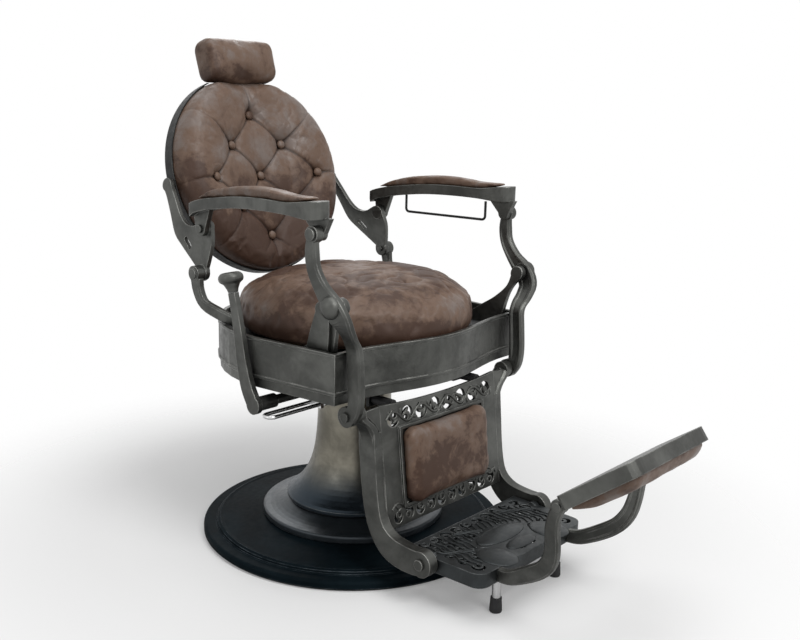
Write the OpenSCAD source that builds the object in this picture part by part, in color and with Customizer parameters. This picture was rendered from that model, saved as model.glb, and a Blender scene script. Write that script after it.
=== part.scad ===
// Hydraulic barber chair with a round tufted back, arched armrests and a flip-over foot rest.
// Frame: the sitter faces -Y, +Z is up, the origin is the centre of the floor disc.

/* [Base] */
// Radius of the floor disc
base_r = 350; // [300:5:400]
// Height of the disc at its rim
base_rim_h = 22; // [16:1:30]
// Width of the stepped band round the rim
base_rim_w = 32; // [20:1:45]
// Height of the disc under the step ring
base_crown_h = 40; // [36:1:50]
// Wall of the hollow disc casting
base_wall = 12; // [8:1:14]
// Radius of the step ring
step_r = 212; // [190:1:230]
// Height of the step ring at its edge
step_h = 17; // [12:1:24]
// Rise of the step ring from its edge to the column foot
step_rise = 19; // [12:1:26]
// Radius of the column foot
foot_r = 156; // [140:1:175]
// Height of the column foot band
foot_h = 12; // [8:1:18]
// Radius of the column at its top
column_r = 84; // [76:1:96]
// Height of the column top above the floor
column_top = 335; // [320:1:340]
// Length over which the column flares
column_flare = 50; // [35:1:70]
// Wall of the column casting
column_wall = 7; // [5:1:10]
// Thickness of the rubber ring under the rim
floor_ring_h = 3; // [2:0.5:5]

/* [Pump] */
// Radius of the ram rod
rod_r = 30; // [24:1:32]
// Bore radius of the pump cylinder
bore_r = 38.05; // [36.05:0.5:42.05]
// Wall of the pump cylinder
pump_wall = 8; // [6:1:12]
// Radius of the pump flange
pump_flange_r = 85; // [75:1:90]
// Thickness of the pump flange
pump_flange_h = 12; // [8:1:16]
// Height of the piston head
piston_h = 30; // [24:1:40]
// Length of the guide bush
guide_h = 40; // [25:1:50]
// Height of the gland nut above the cylinder
gland_h = 24; // [16:1:25]

/* [Turret] */
// Underside of the turret above the floor
turret_z = 350; // [348:1:356]
// Height of the turret
turret_h = 50; // [44:1:54]
// Radius of the turret flange
turret_flange_r = 95; // [80:1:110]
// Wall of the swivel bush
bush_wall = 6; // [4:1:8]

/* [Seat] */
// Radius of the round seat cushion
seat_r = 266; // [240:1:272]
// Distance of the seat cushion's flat rear behind the base axis
seat_rear_y = 208; // [200:1:212]
// Underside of the seat cushion above the floor
seat_z = 500; // [496:1:506]
// Height of the seat cushion at its crown
seat_h = 100; // [80:1:105]
// Thickness of the plywood seat board
board_t = 15; // [10:1:20]
// Radius of the rear of the skirt
skirt_r = 322; // [316:1:335]
// Half width of the skirt at its front corners
skirt_front_x = 300; // [297:1:305]
// Distance from the base axis to the skirt's front corners
skirt_front_y = 236; // [230:1:239]
// Bulge of the serpentine front
skirt_bulge = 42; // [20:1:46]
// Bottom of the skirt above the floor
skirt_z = 405; // [403:1:410]
// Height of the skirt
skirt_h = 104; // [92:1:108]
// Wall of the skirt
skirt_wall = 8; // [6:1:9]
// Height of the frame rails
rail_h = 30; // [20:1:36]
// Width of the frame rails
rail_w = 34; // [24:1:40]

/* [Linkage] */
// Height of the back hinge
back_hinge_z = 611; // [605:1:617]
// Distance of the back hinge behind the base axis
back_hinge_y = 187; // [182:1:192]
// Height of the armrest's rear pin
arm_rear_z = 706; // [702:1:710]
// Height of the armrest's front pin
arm_front_z = 736; // [733:1:739]
// Distance of the armrest's front pin in front of the base axis
arm_front_y = 190; // [187:1:193]
// Height of the elbow pin
elbow_z = 603; // [600:1:606]
// Distance of the elbow pin in front of the base axis
elbow_y = 241; // [239:1:244]
// Radius of the pivot pins
pin_r = 6; // [5:0.5:7]
// Clearance of a pin in its running bore
pin_fit = 0.05; // [0.02:0.01:0.1]
// Clearance of the loose eye at the armrest's front pin
eye_fit = 3; // [2.5:0.5:4]
// Outward lean of the ears and back yokes
lean = 10; // [9:0.5:10.5]

/* [Back] */
// Radius of the round back
back_r = 242; // [230:1:246]
// Height of the back's centre
back_z = 806; // [800:1:815]
// Distance of the back's centre behind the base axis
back_y = 338; // [330:1:345]
// Tilt of the back
back_tilt = 16.5; // [12:0.5:20]
// Radius of the hollow that the back is dished to
dish_r = 378; // [360:1:420]
// Depth of the dish in front of the back's centre
dish_front = 14; // [10:1:20]
// Thickness of the back cushion at its centre
back_t = 59; // [50:1:64]
// Rise of the back cushion's rolled rim over its centre
back_rise = 38; // [32:1:42]
// Thickness of the back shell
shell_t = 4; // [3:1:6]
// Depth of the back shell's rim
shell_rim = 40; // [30:1:44]
// Height of the flat above the back's centre, under the headrest
back_flat = 222; // [212:1:224]

/* [Headrest] */
// Width of the headrest
head_w = 204; // [180:2:250]
// Height of the headrest
head_h = 105; // [80:1:110]
// Depth of the headrest
head_d = 78; // [60:1:79]
// Travel of the headrest
head_travel = 90; // [60:1:110]
// Width of the headrest post
post_w = 45; // [30:1:50]
// Thickness of the headrest post
post_t = 6; // [5:0.5:7]

/* [Armrests] */
// Width of the armrest rail
arm_w = 46; // [38:1:50]
// Thickness of the armrest rail
arm_t = 24; // [18:1:28]
// Thickness of the armrest pad at its middle
arm_pad_t = 20; // [14:1:26]
// Radius of the wire of the towel rail
wire_r = 3; // [2:0.5:4]

/* [Leg frame] */
// Half width between the calf frame's rails
calf_x = 190; // [180:1:194]
// Width of the calf frame's rails
calf_rail_w = 23; // [18:1:26]
// Thickness of the calf frame's panel
panel_t = 8; // [6:1:10]
// Forward lean of the calf panel
panel_lean = 7; // [5:0.5:9]
// Width of the calf pad
calf_pad_w = 266; // [230:2:280]
// Height of the calf pad
calf_pad_h = 156; // [130:1:160]
// Thickness of the calf pad
calf_pad_t = 20; // [12:1:26]

/* [Foot rest] */
// Height of the footplate's hinge
foot_hinge_z = 98; // [94:1:102]
// Distance of the footplate's hinge in front of the base axis
foot_hinge_y = 389; // [385:1:393]
// Distance of the footplate's front edge in front of the base axis
plate_front_y = 517; // [505:1:530]
// Height of the footplate's top
plate_z = 107; // [104:1:110]
// Depth of the footplate's rim
plate_h = 30; // [22:1:34]
// Radius of the support legs
leg_r = 9; // [7:0.5:11]
// Distance of the flap's hinge in front of the base axis
flap_hinge_y = 668; // [660:1:676]
// Height of the flap's hinge
flap_hinge_z = 292; // [286:1:298]
// Upward tilt of the flap
flap_tilt = 36; // [30:1:42]
// Length of the flap
flap_len = 142; // [120:1:160]
// Half width of the flap at its hinge
flap_x = 190; // [176:1:200]
// Half width of the flap at its front
flap_front_x = 152; // [140:1:165]
// Depth of the flap's tray
flap_h = 28; // [20:1:32]

/* [Levers] */
// Distance of the pump lever's plane from the centre
lever_x = 328; // [326:1:336]
// Height of the pump lever's shaft
lever_z = 372; // [366:1:378]
// Thickness of the pump lever
lever_t = 12; // [8:1:14]
// Radius of the pump lever's shaft
shaft_r = 10; // [8:0.5:12]
// Radius of the lever's knob
knob_r = 26; // [20:1:28]

/* [Hidden] */

iron = "#4a4d4a";
dark_iron = "#23282b";
bronze = "#6a6a5c";
steel = "#b9bcc0";
rubber = "#1b1b1c";
brass = "#a08a55";
leather = "#6d4c41";
timber = "#b08d5e";

gap = 0.5;
round_n = 96;
small_n = 48;

// ---- Shared geometry -------------------------------------------------------------------------

function cubic(a, b, c, d, t) =
  0.5 * (2 * b + (c - a) * t + (2 * a - 5 * b + 4 * c - d) * t * t + (3 * b - a - 3 * c + d) * t * t * t);

// Smooth curve through the points of p, with n steps between neighbours
function curve(p, n) = let(m = len(p)) concat(
  [for (i = [0:m - 2]) for (k = [0:n - 1])
    cubic(p[max(i - 1, 0)], p[i], p[i + 1], p[min(i + 2, m - 1)], k / n)],
  [p[m - 1]]);

function unit(v) = v / norm(v);

// Side normal of a path in the YZ plane at point i
function side_normal(p, i) = let(
  m = len(p),
  d = p[min(i + 1, m - 1)] - p[max(i - 1, 0)],
  k = len(d) - 2) unit([-d[k + 1], d[k]]);

// One side of a bar that follows a list of [y, z, width]
function ribbon_side(p, s) = let(flat = [for (q = p) [q[0], q[1]]])
  [for (i = [0:len(p) - 1]) flat[i] + s * side_normal(flat, i) * p[i][2] / 2];

function reversed(p) = [for (i = [len(p) - 1:-1:0]) p[i]];

function ribbon(p) = concat(ribbon_side(p, 1), reversed(ribbon_side(p, -1)));

function arc(c, r, a0, a1, n) = [for (i = [0:n]) c + r * [cos(a0 + (a1 - a0) * i / n), sin(a0 + (a1 - a0) * i / n)]];

// Extrudes an outline drawn in (y, z) along +X from x0 over a thickness t
module side_plate(x0, t) {
  translate([x0, 0, 0]) rotate([90, 0, 90]) linear_extrude(t) children();
}

module x_cylinder(x0, x1, y, z, r, n = small_n) {
  translate([x0, y, z]) rotate([0, 90, 0]) cylinder(h = x1 - x0, r = r, $fn = n);
}

// Copies a left-hand piece to the sitter's right
module right_side() {
  mirror([1, 0, 0]) children();
}

// Leans a piece outward about the X axis position x0 at height z0
module leaned(x0, z0, angle) {
  translate([x0, 0, z0]) rotate([0, angle, 0]) translate([-x0, 0, -z0]) children();
}

// Section of a cast bar, w wide along X and d deep, with a groove g deep on its inner face
function cast_section(w, d, g) = let(c = min(w, d) * 0.22, v = d * 0.2) [
  [w / 2, -d / 2 + c], [w / 2, d / 2 - c], [w / 2 - c, d / 2], [-w / 2 + c, d / 2], [-w / 2, d / 2 - c],
  [-w / 2, v + g], [-w / 2 + g, v], [-w / 2 + g, -v], [-w / 2, -v - g],
  [-w / 2, -d / 2 + c], [-w / 2 + c, -d / 2], [w / 2 - c, -d / 2]];

// Casting that follows a list of [x, y, z, width, depth, groove]
module cast_sweep(p) {
  m = len(p);
  flat = [for (q = p) [q[1], q[2]]];
  rings = [for (i = [0:m - 1]) let(n = side_normal(flat, i))
    [for (s = cast_section(p[i][3], p[i][4], p[i][5])) [p[i][0] + s[0], p[i][1] + n[0] * s[1], p[i][2] + n[1] * s[1]]]];
  loft(rings);
}

// Solid through a list of rings of equally many points
module loft(rings) {
  m = len(rings);
  k = len(rings[0]);
  points = [for (r = rings) each r];
  walls = [for (i = [0:m - 2]) for (j = [0:k - 1]) let(a = i * k + j, b = i * k + (j + 1) % k) each
    [[a, b, b + k], [a, b + k, a + k]]];
  polyhedron(points, concat([[for (j = [k - 1:-1:0]) j]], walls, [[for (j = [0:k - 1]) (m - 1) * k + j]]), 4);
}

// ---- Base ------------------------------------------------------------------------------------

foot_z = base_crown_h + step_h + step_rise;
foot_top = foot_z + foot_h;
pump_z = base_crown_h;
pump_r = bore_r + pump_wall;
pump_floor = pump_z + pump_flange_h;
pump_top = turret_z - gland_h - 8;
pump_bolt_r = 6;
pump_bolt_ring = (pump_r + pump_flange_r) / 2;

hub_r = pump_flange_r + 12;

module base_disc() {
  ri = base_r - base_rim_w;
  color(dark_iron) difference() {
    rotate_extrude($fn = round_n) polygon(concat(
      [[0, 0], [hub_r - 2, 0], [hub_r, floor_ring_h], [base_r - 4, floor_ring_h], [base_r, floor_ring_h + 3]],
      arc([base_r - 7, base_rim_h - 7], 7, 0, 90, 5),
      [[ri + 4, base_rim_h], [ri + 1, base_rim_h + 2], [ri, base_rim_h + 7], [ri - 6, base_rim_h + 10],
       [ri - 14, base_rim_h + 9], [step_r + 40, base_crown_h - 5], [step_r, base_crown_h],
       [0, base_crown_h]]));
    rotate_extrude($fn = round_n) polygon([
      [hub_r, floor_ring_h - 1], [ri - 18, floor_ring_h - 1], [ri - 22, base_rim_h + 9 - base_wall],
      [step_r, base_crown_h - base_wall], [hub_r, base_crown_h - base_wall]]);
    for (a = [45:90:315])
      rotate(a) translate([pump_bolt_ring, 0, 0]) cylinder(h = base_crown_h + 1, r = pump_bolt_r, $fn = small_n);
  }
}

module floor_ring() {
  color(rubber) rotate_extrude($fn = round_n) translate([base_r - 26, 0]) square([20, floor_ring_h]);
}

module step_ring() {
  z = base_crown_h;
  color(dark_iron) rotate_extrude($fn = round_n) polygon(concat(
    [[pump_flange_r + 20, z], [step_r - 2, z], [step_r, z + 2]],
    arc([step_r - 5, z + step_h - 5], 5, 0, 90, 4),
    [for (t = [1:6]) let(u = t / 6)
      [step_r - 8 - (step_r - foot_r + 2) * u, z + step_h + step_rise * pow(u, 1.8)]],
    [[pump_flange_r + 20, foot_z]]));
}

// Radius of the column at height z
function column_at(z) = column_r + (foot_r - column_r) * exp(-(z - foot_top) / column_flare);

module column() {
  steps = 18;
  zs = [for (i = [0:steps]) foot_top + (column_top - foot_top) * pow(i / steps, 1.5)];
  lip = pump_r + 14;
  color(bronze) rotate_extrude($fn = round_n) polygon(concat(
    [[foot_r - 24, foot_z], [foot_r - 3, foot_z], [foot_r, foot_z + 3], [foot_r, foot_top - 2]],
    [for (z = zs) [column_at(z) - (z == foot_top ? 2 : 0), z]],
    [[lip, column_top], [lip, column_top - column_wall]],
    [for (i = [steps:-1:1]) if (zs[i] < column_top - column_wall)
      [column_at(zs[i]) - column_wall - 1, zs[i]]],
    [[foot_r - 24, foot_top - 6]]));
}

module pump_cylinder() {
  color(iron) difference() {
    union() {
      translate([0, 0, pump_z]) cylinder(h = pump_flange_h, r = pump_flange_r, $fn = round_n);
      translate([0, 0, pump_z]) cylinder(h = pump_top - pump_z, r = pump_r, $fn = round_n);
    }
    translate([0, 0, pump_floor]) cylinder(h = pump_top, r = bore_r, $fn = round_n);
    for (a = [45:90:315])
      rotate(a) translate([pump_bolt_ring, 0, 0]) cylinder(h = pump_floor + 1, r = pump_bolt_r, $fn = small_n);
  }
}

module pump_bolts() {
  color(steel) for (a = [45:90:315]) rotate(a) translate([pump_bolt_ring, 0, 0]) {
    translate([0, 0, base_crown_h - base_wall]) cylinder(h = base_wall + pump_flange_h, r = pump_bolt_r - pin_fit, $fn = small_n);
    translate([0, 0, pump_floor]) cylinder(h = 7, r = pump_bolt_r * 1.75, $fn = 6);
  }
}

module ring(z, h, r0, r1) {
  translate([0, 0, z]) rotate_extrude($fn = round_n) translate([r0, 0]) square([r1 - r0, h]);
}

seal_h = 10;

module guide_bush() {
  color(brass) ring(pump_top - seal_h - guide_h, guide_h, rod_r + pin_fit, bore_r - pin_fit);
}

module rod_seal() {
  color(rubber) ring(pump_top - seal_h, seal_h, rod_r + pin_fit, bore_r - pin_fit);
}

module gland_nut() {
  color(iron) difference() {
    union() {
      ring(pump_top, gland_h, rod_r + 1, pump_r + 6);
      ring(pump_top + gland_h, 3, rod_r + 1, pump_r);
    }
    for (a = [0:45:315])
      rotate(a) translate([pump_r + 8, 0, pump_top + gland_h / 2]) cylinder(h = gland_h, r = 5, $fn = small_n);
  }
}

// ---- Lift ------------------------------------------------------------------------------------

piston_z = pump_floor + gap;
rod_top = turret_z + turret_h - 14;
seal_groove = 4;

module ram_rod() {
  color(steel) union() {
    translate([0, 0, piston_z + piston_h]) cylinder(h = rod_top - piston_z - piston_h - 2, r = rod_r, $fn = round_n);
    translate([0, 0, rod_top - 2]) cylinder(h = 2, r1 = rod_r, r2 = rod_r - 2, $fn = round_n);
  }
}

module piston_head() {
  r = bore_r - pin_fit;
  color(iron) difference() {
    translate([0, 0, piston_z]) cylinder(h = piston_h, r = r, $fn = round_n);
    ring(piston_z + piston_h / 3, piston_h / 3, r - seal_groove, r + 1);
  }
}

module piston_seal() {
  r = bore_r - pin_fit;
  color(rubber) ring(piston_z + piston_h / 3, piston_h / 3, r - seal_groove, r);
}

// ---- Seat ------------------------------------------------------------------------------------

frame_z = turret_z + turret_h;
rail_z = frame_z + 8;
rail_top = rail_z + rail_h;
rail_x = 70;
bumper_x = 140;
bumper_z = 378;
bumper_r = 10;
front_rail_y = -175;
bumper_y = front_rail_y - rail_w / 2;
rear_rail_y = 105;
board_z = seat_z - board_t;
skirt_top = skirt_z + skirt_h;
skirt_centre_y = -20;
skirt_tip_x = skirt_front_x - 26;

// Half width of the skirt's straight flank at y, inset by d
function flank_x(y, d) =
  (skirt_r - d) + (skirt_front_x - skirt_r) * (skirt_centre_y - y) / (skirt_centre_y + skirt_front_y);

// Outline of the skirt, inset by d
function skirt_outline(d) = concat(
  [for (i = [0:22]) let(a = 180 * i / 22) [(skirt_r - d) * cos(a), skirt_centre_y + (skirt_r - d) * sin(a)]],
  [[-flank_x(-skirt_front_y + d, d), -skirt_front_y + d], [-skirt_tip_x + d / 2, -skirt_front_y + d]],
  [for (i = [0:16]) let(x = -skirt_tip_x + 14 + (2 * skirt_tip_x - 28) * i / 16)
    [x, -skirt_front_y + d - skirt_bulge * (1 + cos(180 * x / (skirt_tip_x - 14))) / 2]],
  [[skirt_tip_x - d / 2, -skirt_front_y + d], [flank_x(-skirt_front_y + d, d), -skirt_front_y + d]]);

module skirt_layer(z, h, d0, d1) {
  translate([0, 0, z]) linear_extrude(h) difference() {
    polygon(skirt_outline(d0));
    polygon(skirt_outline(d1));
  }
}

module seat_skirt() {
  lip = 24;
  color(iron) union() {
    skirt_layer(skirt_z, lip - 3, 3, skirt_wall);
    skirt_layer(skirt_z + lip - 3, 6, -2, skirt_wall);
    skirt_layer(skirt_z + lip + 3, skirt_h - lip - 9, 0, skirt_wall);
    skirt_layer(skirt_top - 6, 6, -1.5, skirt_wall);
  }
}

module turret_hub() {
  socket_r = rod_r + bush_wall + 2 * pin_fit;
  z1 = turret_h - 12;
  color(dark_iron) translate([0, 0, turret_z]) rotate_extrude($fn = round_n) polygon([
    [0, z1], [0, turret_h], [turret_flange_r, turret_h], [turret_flange_r, z1], [turret_flange_r - 8, z1 - 3],
    [socket_r + 26, z1 - 12], [socket_r + 14, 6], [socket_r + 11, 0], [socket_r, 0], [socket_r, z1]]);
}

washer_h = turret_z + turret_h - 12 - rod_top;

module swivel_bush() {
  color(brass) ring(turret_z + 2, rod_top - turret_z - 4, rod_r + pin_fit, rod_r + bush_wall + pin_fit);
}

module thrust_washer() {
  color(brass) translate([0, 0, rod_top]) cylinder(h = washer_h, r = rod_r - 3, $fn = round_n);
}

module seat_frame() {
  inner = skirt_r - skirt_wall;
  post_r = 14;
  color(dark_iron) union() {
    translate([0, 0, frame_z]) cylinder(h = 8, r = turret_flange_r, $fn = round_n);
    for (x = [-rail_x, rail_x])
      translate([x - rail_w / 2, front_rail_y, rail_z]) cube([rail_w, rear_rail_y - front_rail_y, rail_h]);
    for (x = [-bumper_x, bumper_x])
      translate([x - 16, bumper_y, bumper_z - 14]) cube([32, 8, rail_z + 1 - bumper_z + 14]);
    intersection() {
      translate([0, 0, rail_z]) linear_extrude(rail_h) polygon(skirt_outline(skirt_wall));
      for (y = [front_rail_y, rear_rail_y])
        translate([-inner, y - rail_w / 2, rail_z]) cube([2 * inner, rail_w, rail_h]);
    }
    for (x = [-180, 180])
      for (y = [front_rail_y, rear_rail_y])
        translate([x, y, rail_top]) cylinder(h = board_z - rail_top, r = post_r, $fn = small_n);
  }
}

// Cuts the rear of a round seat piece flat at y
module flat_rear(y) {
  difference() {
    children();
    translate([-seat_r, y, board_z - 1]) cube([2 * seat_r, seat_r, board_t + seat_h + 2]);
  }
}

wrap = 27;

module seat_board() {
  color(timber) flat_rear(seat_rear_y - 2)
    translate([0, 0, board_z]) cylinder(h = board_t, r = seat_r - wrap - 1, $fn = round_n);
}

module seat_cushion() {
  edge = 30;
  crown = 12;
  wall_h = seat_h - crown - edge;
  wrap_z = 3 - board_t;
  color(leather) flat_rear(seat_rear_y) translate([0, 0, seat_z]) rotate_extrude($fn = round_n) polygon(concat(
    [[0, 0], [seat_r - wrap, 0], [seat_r - wrap, wrap_z], [seat_r - 10, wrap_z]],
    arc([seat_r - 10, wrap_z + 10], 10, -60, 0, 3),
    arc([seat_r - edge, wall_h], edge, 0, 75, 7),
    [for (i = [0:6]) let(r = (seat_r - edge) * (1 - i / 6)) [r, seat_h - crown * pow(r / (seat_r - edge), 2)]]));
}

// ---- Ears, brackets and levers on the seat -----------------------------------------------------

yoke_t = 10;
yoke_x = back_r + 6 + (back_z - back_hinge_z) * sin(lean);
bracket_x = yoke_x + yoke_t + 2 * gap;
hinge_boss_w = 19;
hinge_boss_r = 17;
post_w2 = 18;
post_x = 311;
post_in = post_x - post_w2 / 2;
post_out = post_x + post_w2 / 2;
ear_t = 10;
ear_lean = 6;
ear_z0 = rail_top;
ear_x = post_in - 38;
ear_boss_r = 16;
tab_x = ear_x + ear_t + 0.6;
tab_t = 7;
tab_y = -175;
tab_z = 462;
tab_pin_r = 5;
head_t = 5;

module ear() {
  head = [-elbow_y, elbow_z];
  difference() {
    union() {
      leaned(ear_x, ear_z0, ear_lean) side_plate(ear_x, ear_t) union() {
        polygon(concat(
          [[-208, ear_z0 - 4], [-120, ear_z0 - 4]],
          curve([[-120, 497], [-152, 519], [-186, 541], [-218, 572], [-228, 604]], 4),
          curve([[-254, 596], [-234, 572], [-222, 545], [-212, 500]], 3)));
        translate(head) circle(r = ear_boss_r, $fn = small_n);
      }
      side_plate(ear_x - 34, 36) polygon([[-206, ear_z0 - 2], [-124, ear_z0 - 2], [-124, ear_z0 + 8], [-206, ear_z0 + 8]]);
      x_cylinder(ear_x + 20, post_in - 6, head[0], head[1], ear_boss_r);
      x_cylinder(post_in - 7, post_in - gap, head[0], head[1], pin_r + 4);
    }
    translate([0, 0, ear_z0 - 20]) cube([2 * skirt_r, 2 * skirt_r, 40], center = true);
  }
  x_cylinder(post_in - gap - 1, post_out, head[0], head[1], pin_r);
}

module ear_left() {
  color(iron) ear();
}

module ear_right() {
  color(iron) right_side() {
    ear();
    leaned(ear_x, ear_z0, ear_lean) x_cylinder(ear_x + ear_t / 2, tab_x + tab_t + 1, tab_y, tab_z, tab_pin_r);
  }
}

module rear_bracket() {
  y = back_hinge_y;
  z = back_hinge_z;
  x = bracket_x + hinge_boss_w / 2;
  path = curve([
    [x, y - 1, z - 12, 18, 30, 0], [x, y - 6, z - 38, 18, 26, 2], [x - 4, y - 22, z - 66, 17, 25, 2],
    [x - 16, y - 62, z - 84, 16, 26, 2], [x - 29, y - 94, z - 98, 14, 24, 1],
    [x - 33, y - 104, z - 124, 14, 28, 0], [x - 34, y - 100, rail_top, 14, 30, 0]], 4);
  difference() {
    union() {
      cast_sweep(path);
      x_cylinder(bracket_x, bracket_x + hinge_boss_w, y, z, hinge_boss_r);
    }
    translate([0, 0, rail_top - 20]) cube([2 * skirt_r, 2 * skirt_r, 40], center = true);
  }
  x_cylinder(yoke_x - 6, bracket_x + 1, y, z, pin_r);
  x_cylinder(bracket_x + hinge_boss_w - 1, bracket_x + hinge_boss_w + 4, y, z, pin_r + 5);
}

module rear_bracket_left() {
  color(iron) rear_bracket();
}

module rear_bracket_right() {
  color(iron) right_side() rear_bracket();
}

lever_y = -40;
lever_plate = 15;
lever_bracket_x = turret_flange_r + 2;
loop_y = -92;
loop_z = 362;
loop_spindle_r = 7;

module lever_bracket() {
  y0 = loop_y - 16;
  w = lever_y + 24 - y0;
  rail_side = rail_x + rail_w / 2;
  color(dark_iron) difference() {
    union() {
      translate([-lever_bracket_x - lever_plate, y0, loop_z - 14])
        cube([lever_plate, w, rail_top - loop_z + 14]);
      translate([-lever_bracket_x - 1, y0, rail_z + 1])
        cube([lever_bracket_x + 1 - rail_side, w, rail_h - 1]);
    }
    x_cylinder(-lever_bracket_x - lever_plate - 1, -lever_bracket_x + 1, lever_y, lever_z, shaft_r + pin_fit);
    x_cylinder(-lever_bracket_x - lever_plate - 1, -lever_bracket_x + 1, loop_y, loop_z, loop_spindle_r + pin_fit);
  }
}

module stop_bumpers() {
  color(rubber) for (x = [-bumper_x, bumper_x])
    translate([x, bumper_y, bumper_z]) rotate([90, 0, 0])
      cylinder(h = bumper_y - calf_back_y(bumper_z + bumper_r) - gap, r = bumper_r, $fn = small_n);
}

module pump_lever() {
  path = curve([[24, 596, 20], [14, 557, 22], [4, 508, 25], [-6, 454, 29], [-20, 406, 33], [lever_y, lever_z, 34]], 5);
  color(iron) union() {
    side_plate(-lever_x - lever_t, lever_t) union() {
      polygon(ribbon(path));
      translate([lever_y, lever_z]) circle(r = 19, $fn = small_n);
    }
    x_cylinder(-lever_x - 1, -lever_bracket_x, lever_y, lever_z, shaft_r);
    x_cylinder(-lever_x - 1, -lever_x + 46, lever_y, lever_z, shaft_r + 5);
  }
}

module lever_knob() {
  knob_tilt = 14.4;
  color(iron) translate([-lever_x - lever_t / 2, 24, 596]) rotate([-knob_tilt, 0, 0]) rotate_extrude($fn = small_n) polygon(concat(
    [[0, 0.3], [10, 0.3], [12, 8], [17, 18]],
    arc([knob_r - 12, 30], 12, -35, 90, 6),
    [[0, 42]]));
}

module recline_lever() {
  color(iron) right_side() leaned(ear_x, ear_z0, ear_lean) difference() {
    side_plate(tab_x, tab_t) union() {
      translate([tab_y, tab_z]) circle(r = 16, $fn = small_n);
      polygon(concat(
        curve([[-164, 458], [-146, 500], [-151, 525], [-166, 560], [-180, 590]], 3),
        curve([[-214, 590], [-212, 555], [-203, 505], [-186, 458]], 3)));
      translate([-197, 590]) circle(r = 19, $fn = small_n);
    }
    x_cylinder(tab_x - 1, tab_x + tab_t + 1, tab_y, tab_z, tab_pin_r + pin_fit);
  }
}

loop_r = 4;
loop_bend = 13;
loop_in = 205;
loop_out = 335;

module brake_loop() {
  color(steel) union() {
    for (s = [-1, 1])
      x_cylinder(-loop_out, -loop_in, loop_y + s * loop_bend, loop_z, loop_r, 24);
    translate([-loop_out, loop_y, loop_z]) rotate([0, 0, 90])
      rotate_extrude(angle = 180, $fn = small_n) translate([loop_bend, 0]) circle(r = loop_r, $fn = 24);
    translate([-loop_in - 9, loop_y - loop_bend - loop_r, loop_z - 8]) cube([9, 2 * (loop_bend + loop_r), 16]);
    x_cylinder(-loop_in - 1, -lever_bracket_x, loop_y, loop_z, loop_spindle_r);
  }
}

module brake_spring() {
  turns = 14;
  wire = 2;
  pitch = 3.6;
  x0 = -loop_in + 14;
  color(steel) union() for (i = [0:turns - 1])
    translate([x0 + i * pitch, loop_y, loop_z]) rotate([0, 90, 0])
      rotate_extrude($fn = small_n) translate([loop_spindle_r + pin_fit + wire, 0]) circle(r = wire, $fn = 16);
}

// ---- Back ------------------------------------------------------------------------------------

// Back frame: x across, -y towards the sitter, z up the back
module back_frame() {
  translate([0, back_y, back_z]) rotate([-back_tilt, 0, 0]) children();
}

dish_y = -(dish_front + dish_r);
cushion_r = back_r - 3.5;
back_rear = dish_front - back_t;
shell_front = back_rear - gap;
shell_rear = shell_front - shell_t;
shell_back = -shell_rear;
roll_r = 50;
bar_h = 44;
bar_t = 8;
bar_z = -16;

// Disc of the back with a profile of [radius, height towards the sitter], cut flat above its centre
module back_disc(profile, flat) {
  back_frame() difference() {
    rotate([90, 0, 0]) rotate_extrude($fn = round_n) polygon(profile);
    translate([-back_r - 1, -back_r, flat]) cube([2 * back_r + 2, 2 * back_r, back_r]);
  }
}

// Slot of radius r between two points
module slot(a, b, r) {
  turn = atan2(b[1] - a[1], b[0] - a[0]);
  polygon(concat(arc(a, r, turn + 90, turn + 270, 8), arc(b, r, turn - 90, turn + 90, 8)));
}

module back_yoke() {
  head = [back_hinge_y, back_hinge_z];
  rear = [back_hinge_y + 2, arm_rear_z];
  rear_x = yoke_x - (arm_rear_z - back_hinge_z) * sin(lean);
  tip = [back_y + 11, back_z - 17];
  strap_r = 8;
  difference() {
    union() {
      leaned(yoke_x, back_hinge_z, -lean) side_plate(yoke_x, yoke_t) difference() {
        union() {
          translate(head) circle(r = hinge_boss_r + 2, $fn = small_n);
          translate(rear) circle(r = 18, $fn = small_n);
          polygon(concat(
            curve([[172, 618], [166, 650], [164, 680], [173, 712]], 3),
            curve([[200, 722], [232, 707], [262, 709], [286, 727], [309, 757], [337, 795]], 4),
            curve([[362, 783], [345, 765], [320, 724], [296, 683], [266, 660], [236, 640], [203, 618]], 3)));
          translate(tip) circle(r = 15, $fn = small_n);
        }
        slot([236, 660], [254, 676], 5);
      }
      x_cylinder(yoke_x - 2, bracket_x - gap, head[0], head[1], hinge_boss_r);
      x_cylinder(rear_x - 1, rear_x + yoke_t + 3, rear[0], rear[1], 17);
      x_cylinder(back_r - 6, back_r + 13, tip[0] + 3, tip[1] - 1, strap_r);
    }
    x_cylinder(bracket_x - gap, bracket_x + 40, head[0], head[1], hinge_boss_r + 12);
    back_frame() rotate([90, 0, 0]) cylinder(h = 4 * back_t, r = back_r + 0.1, $fn = round_n, center = true);
    x_cylinder(yoke_x - 12, bracket_x + 1, head[0], head[1], pin_r + pin_fit);
  }
  x_cylinder(rear_x + yoke_t + 2, arm_lug_rear_x + arm_lug_t + gap + head_t, rear[0], rear[1], pin_r);
  x_cylinder(arm_lug_rear_x + arm_lug_t + gap, arm_lug_rear_x + arm_lug_t + gap + head_t, rear[0], rear[1], pin_r + 3);
}

module back_yoke_left() {
  color(iron) back_yoke();
}

module back_yoke_right() {
  color(iron) right_side() back_yoke();
}

module back_crossbar() {
  half = back_r - 40;
  color(dark_iron) back_frame()
    translate([-half, shell_back, bar_z - bar_h / 2]) cube([2 * half, bar_t, bar_h]);
}

module back_shell() {
  lip = 3;
  rim_top = shell_rear + shell_rim;
  color(dark_iron) back_disc([
    [0, shell_rear], [back_r - 20, shell_rear], [back_r - 8, shell_rear + 4], [back_r, shell_rear + 13],
    [back_r, rim_top], [back_r - lip, rim_top], [back_r - lip, shell_rear + 15], [back_r - 10, shell_rear + 8],
    [back_r - 21, shell_front], [0, shell_front]], back_flat);
}

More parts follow.
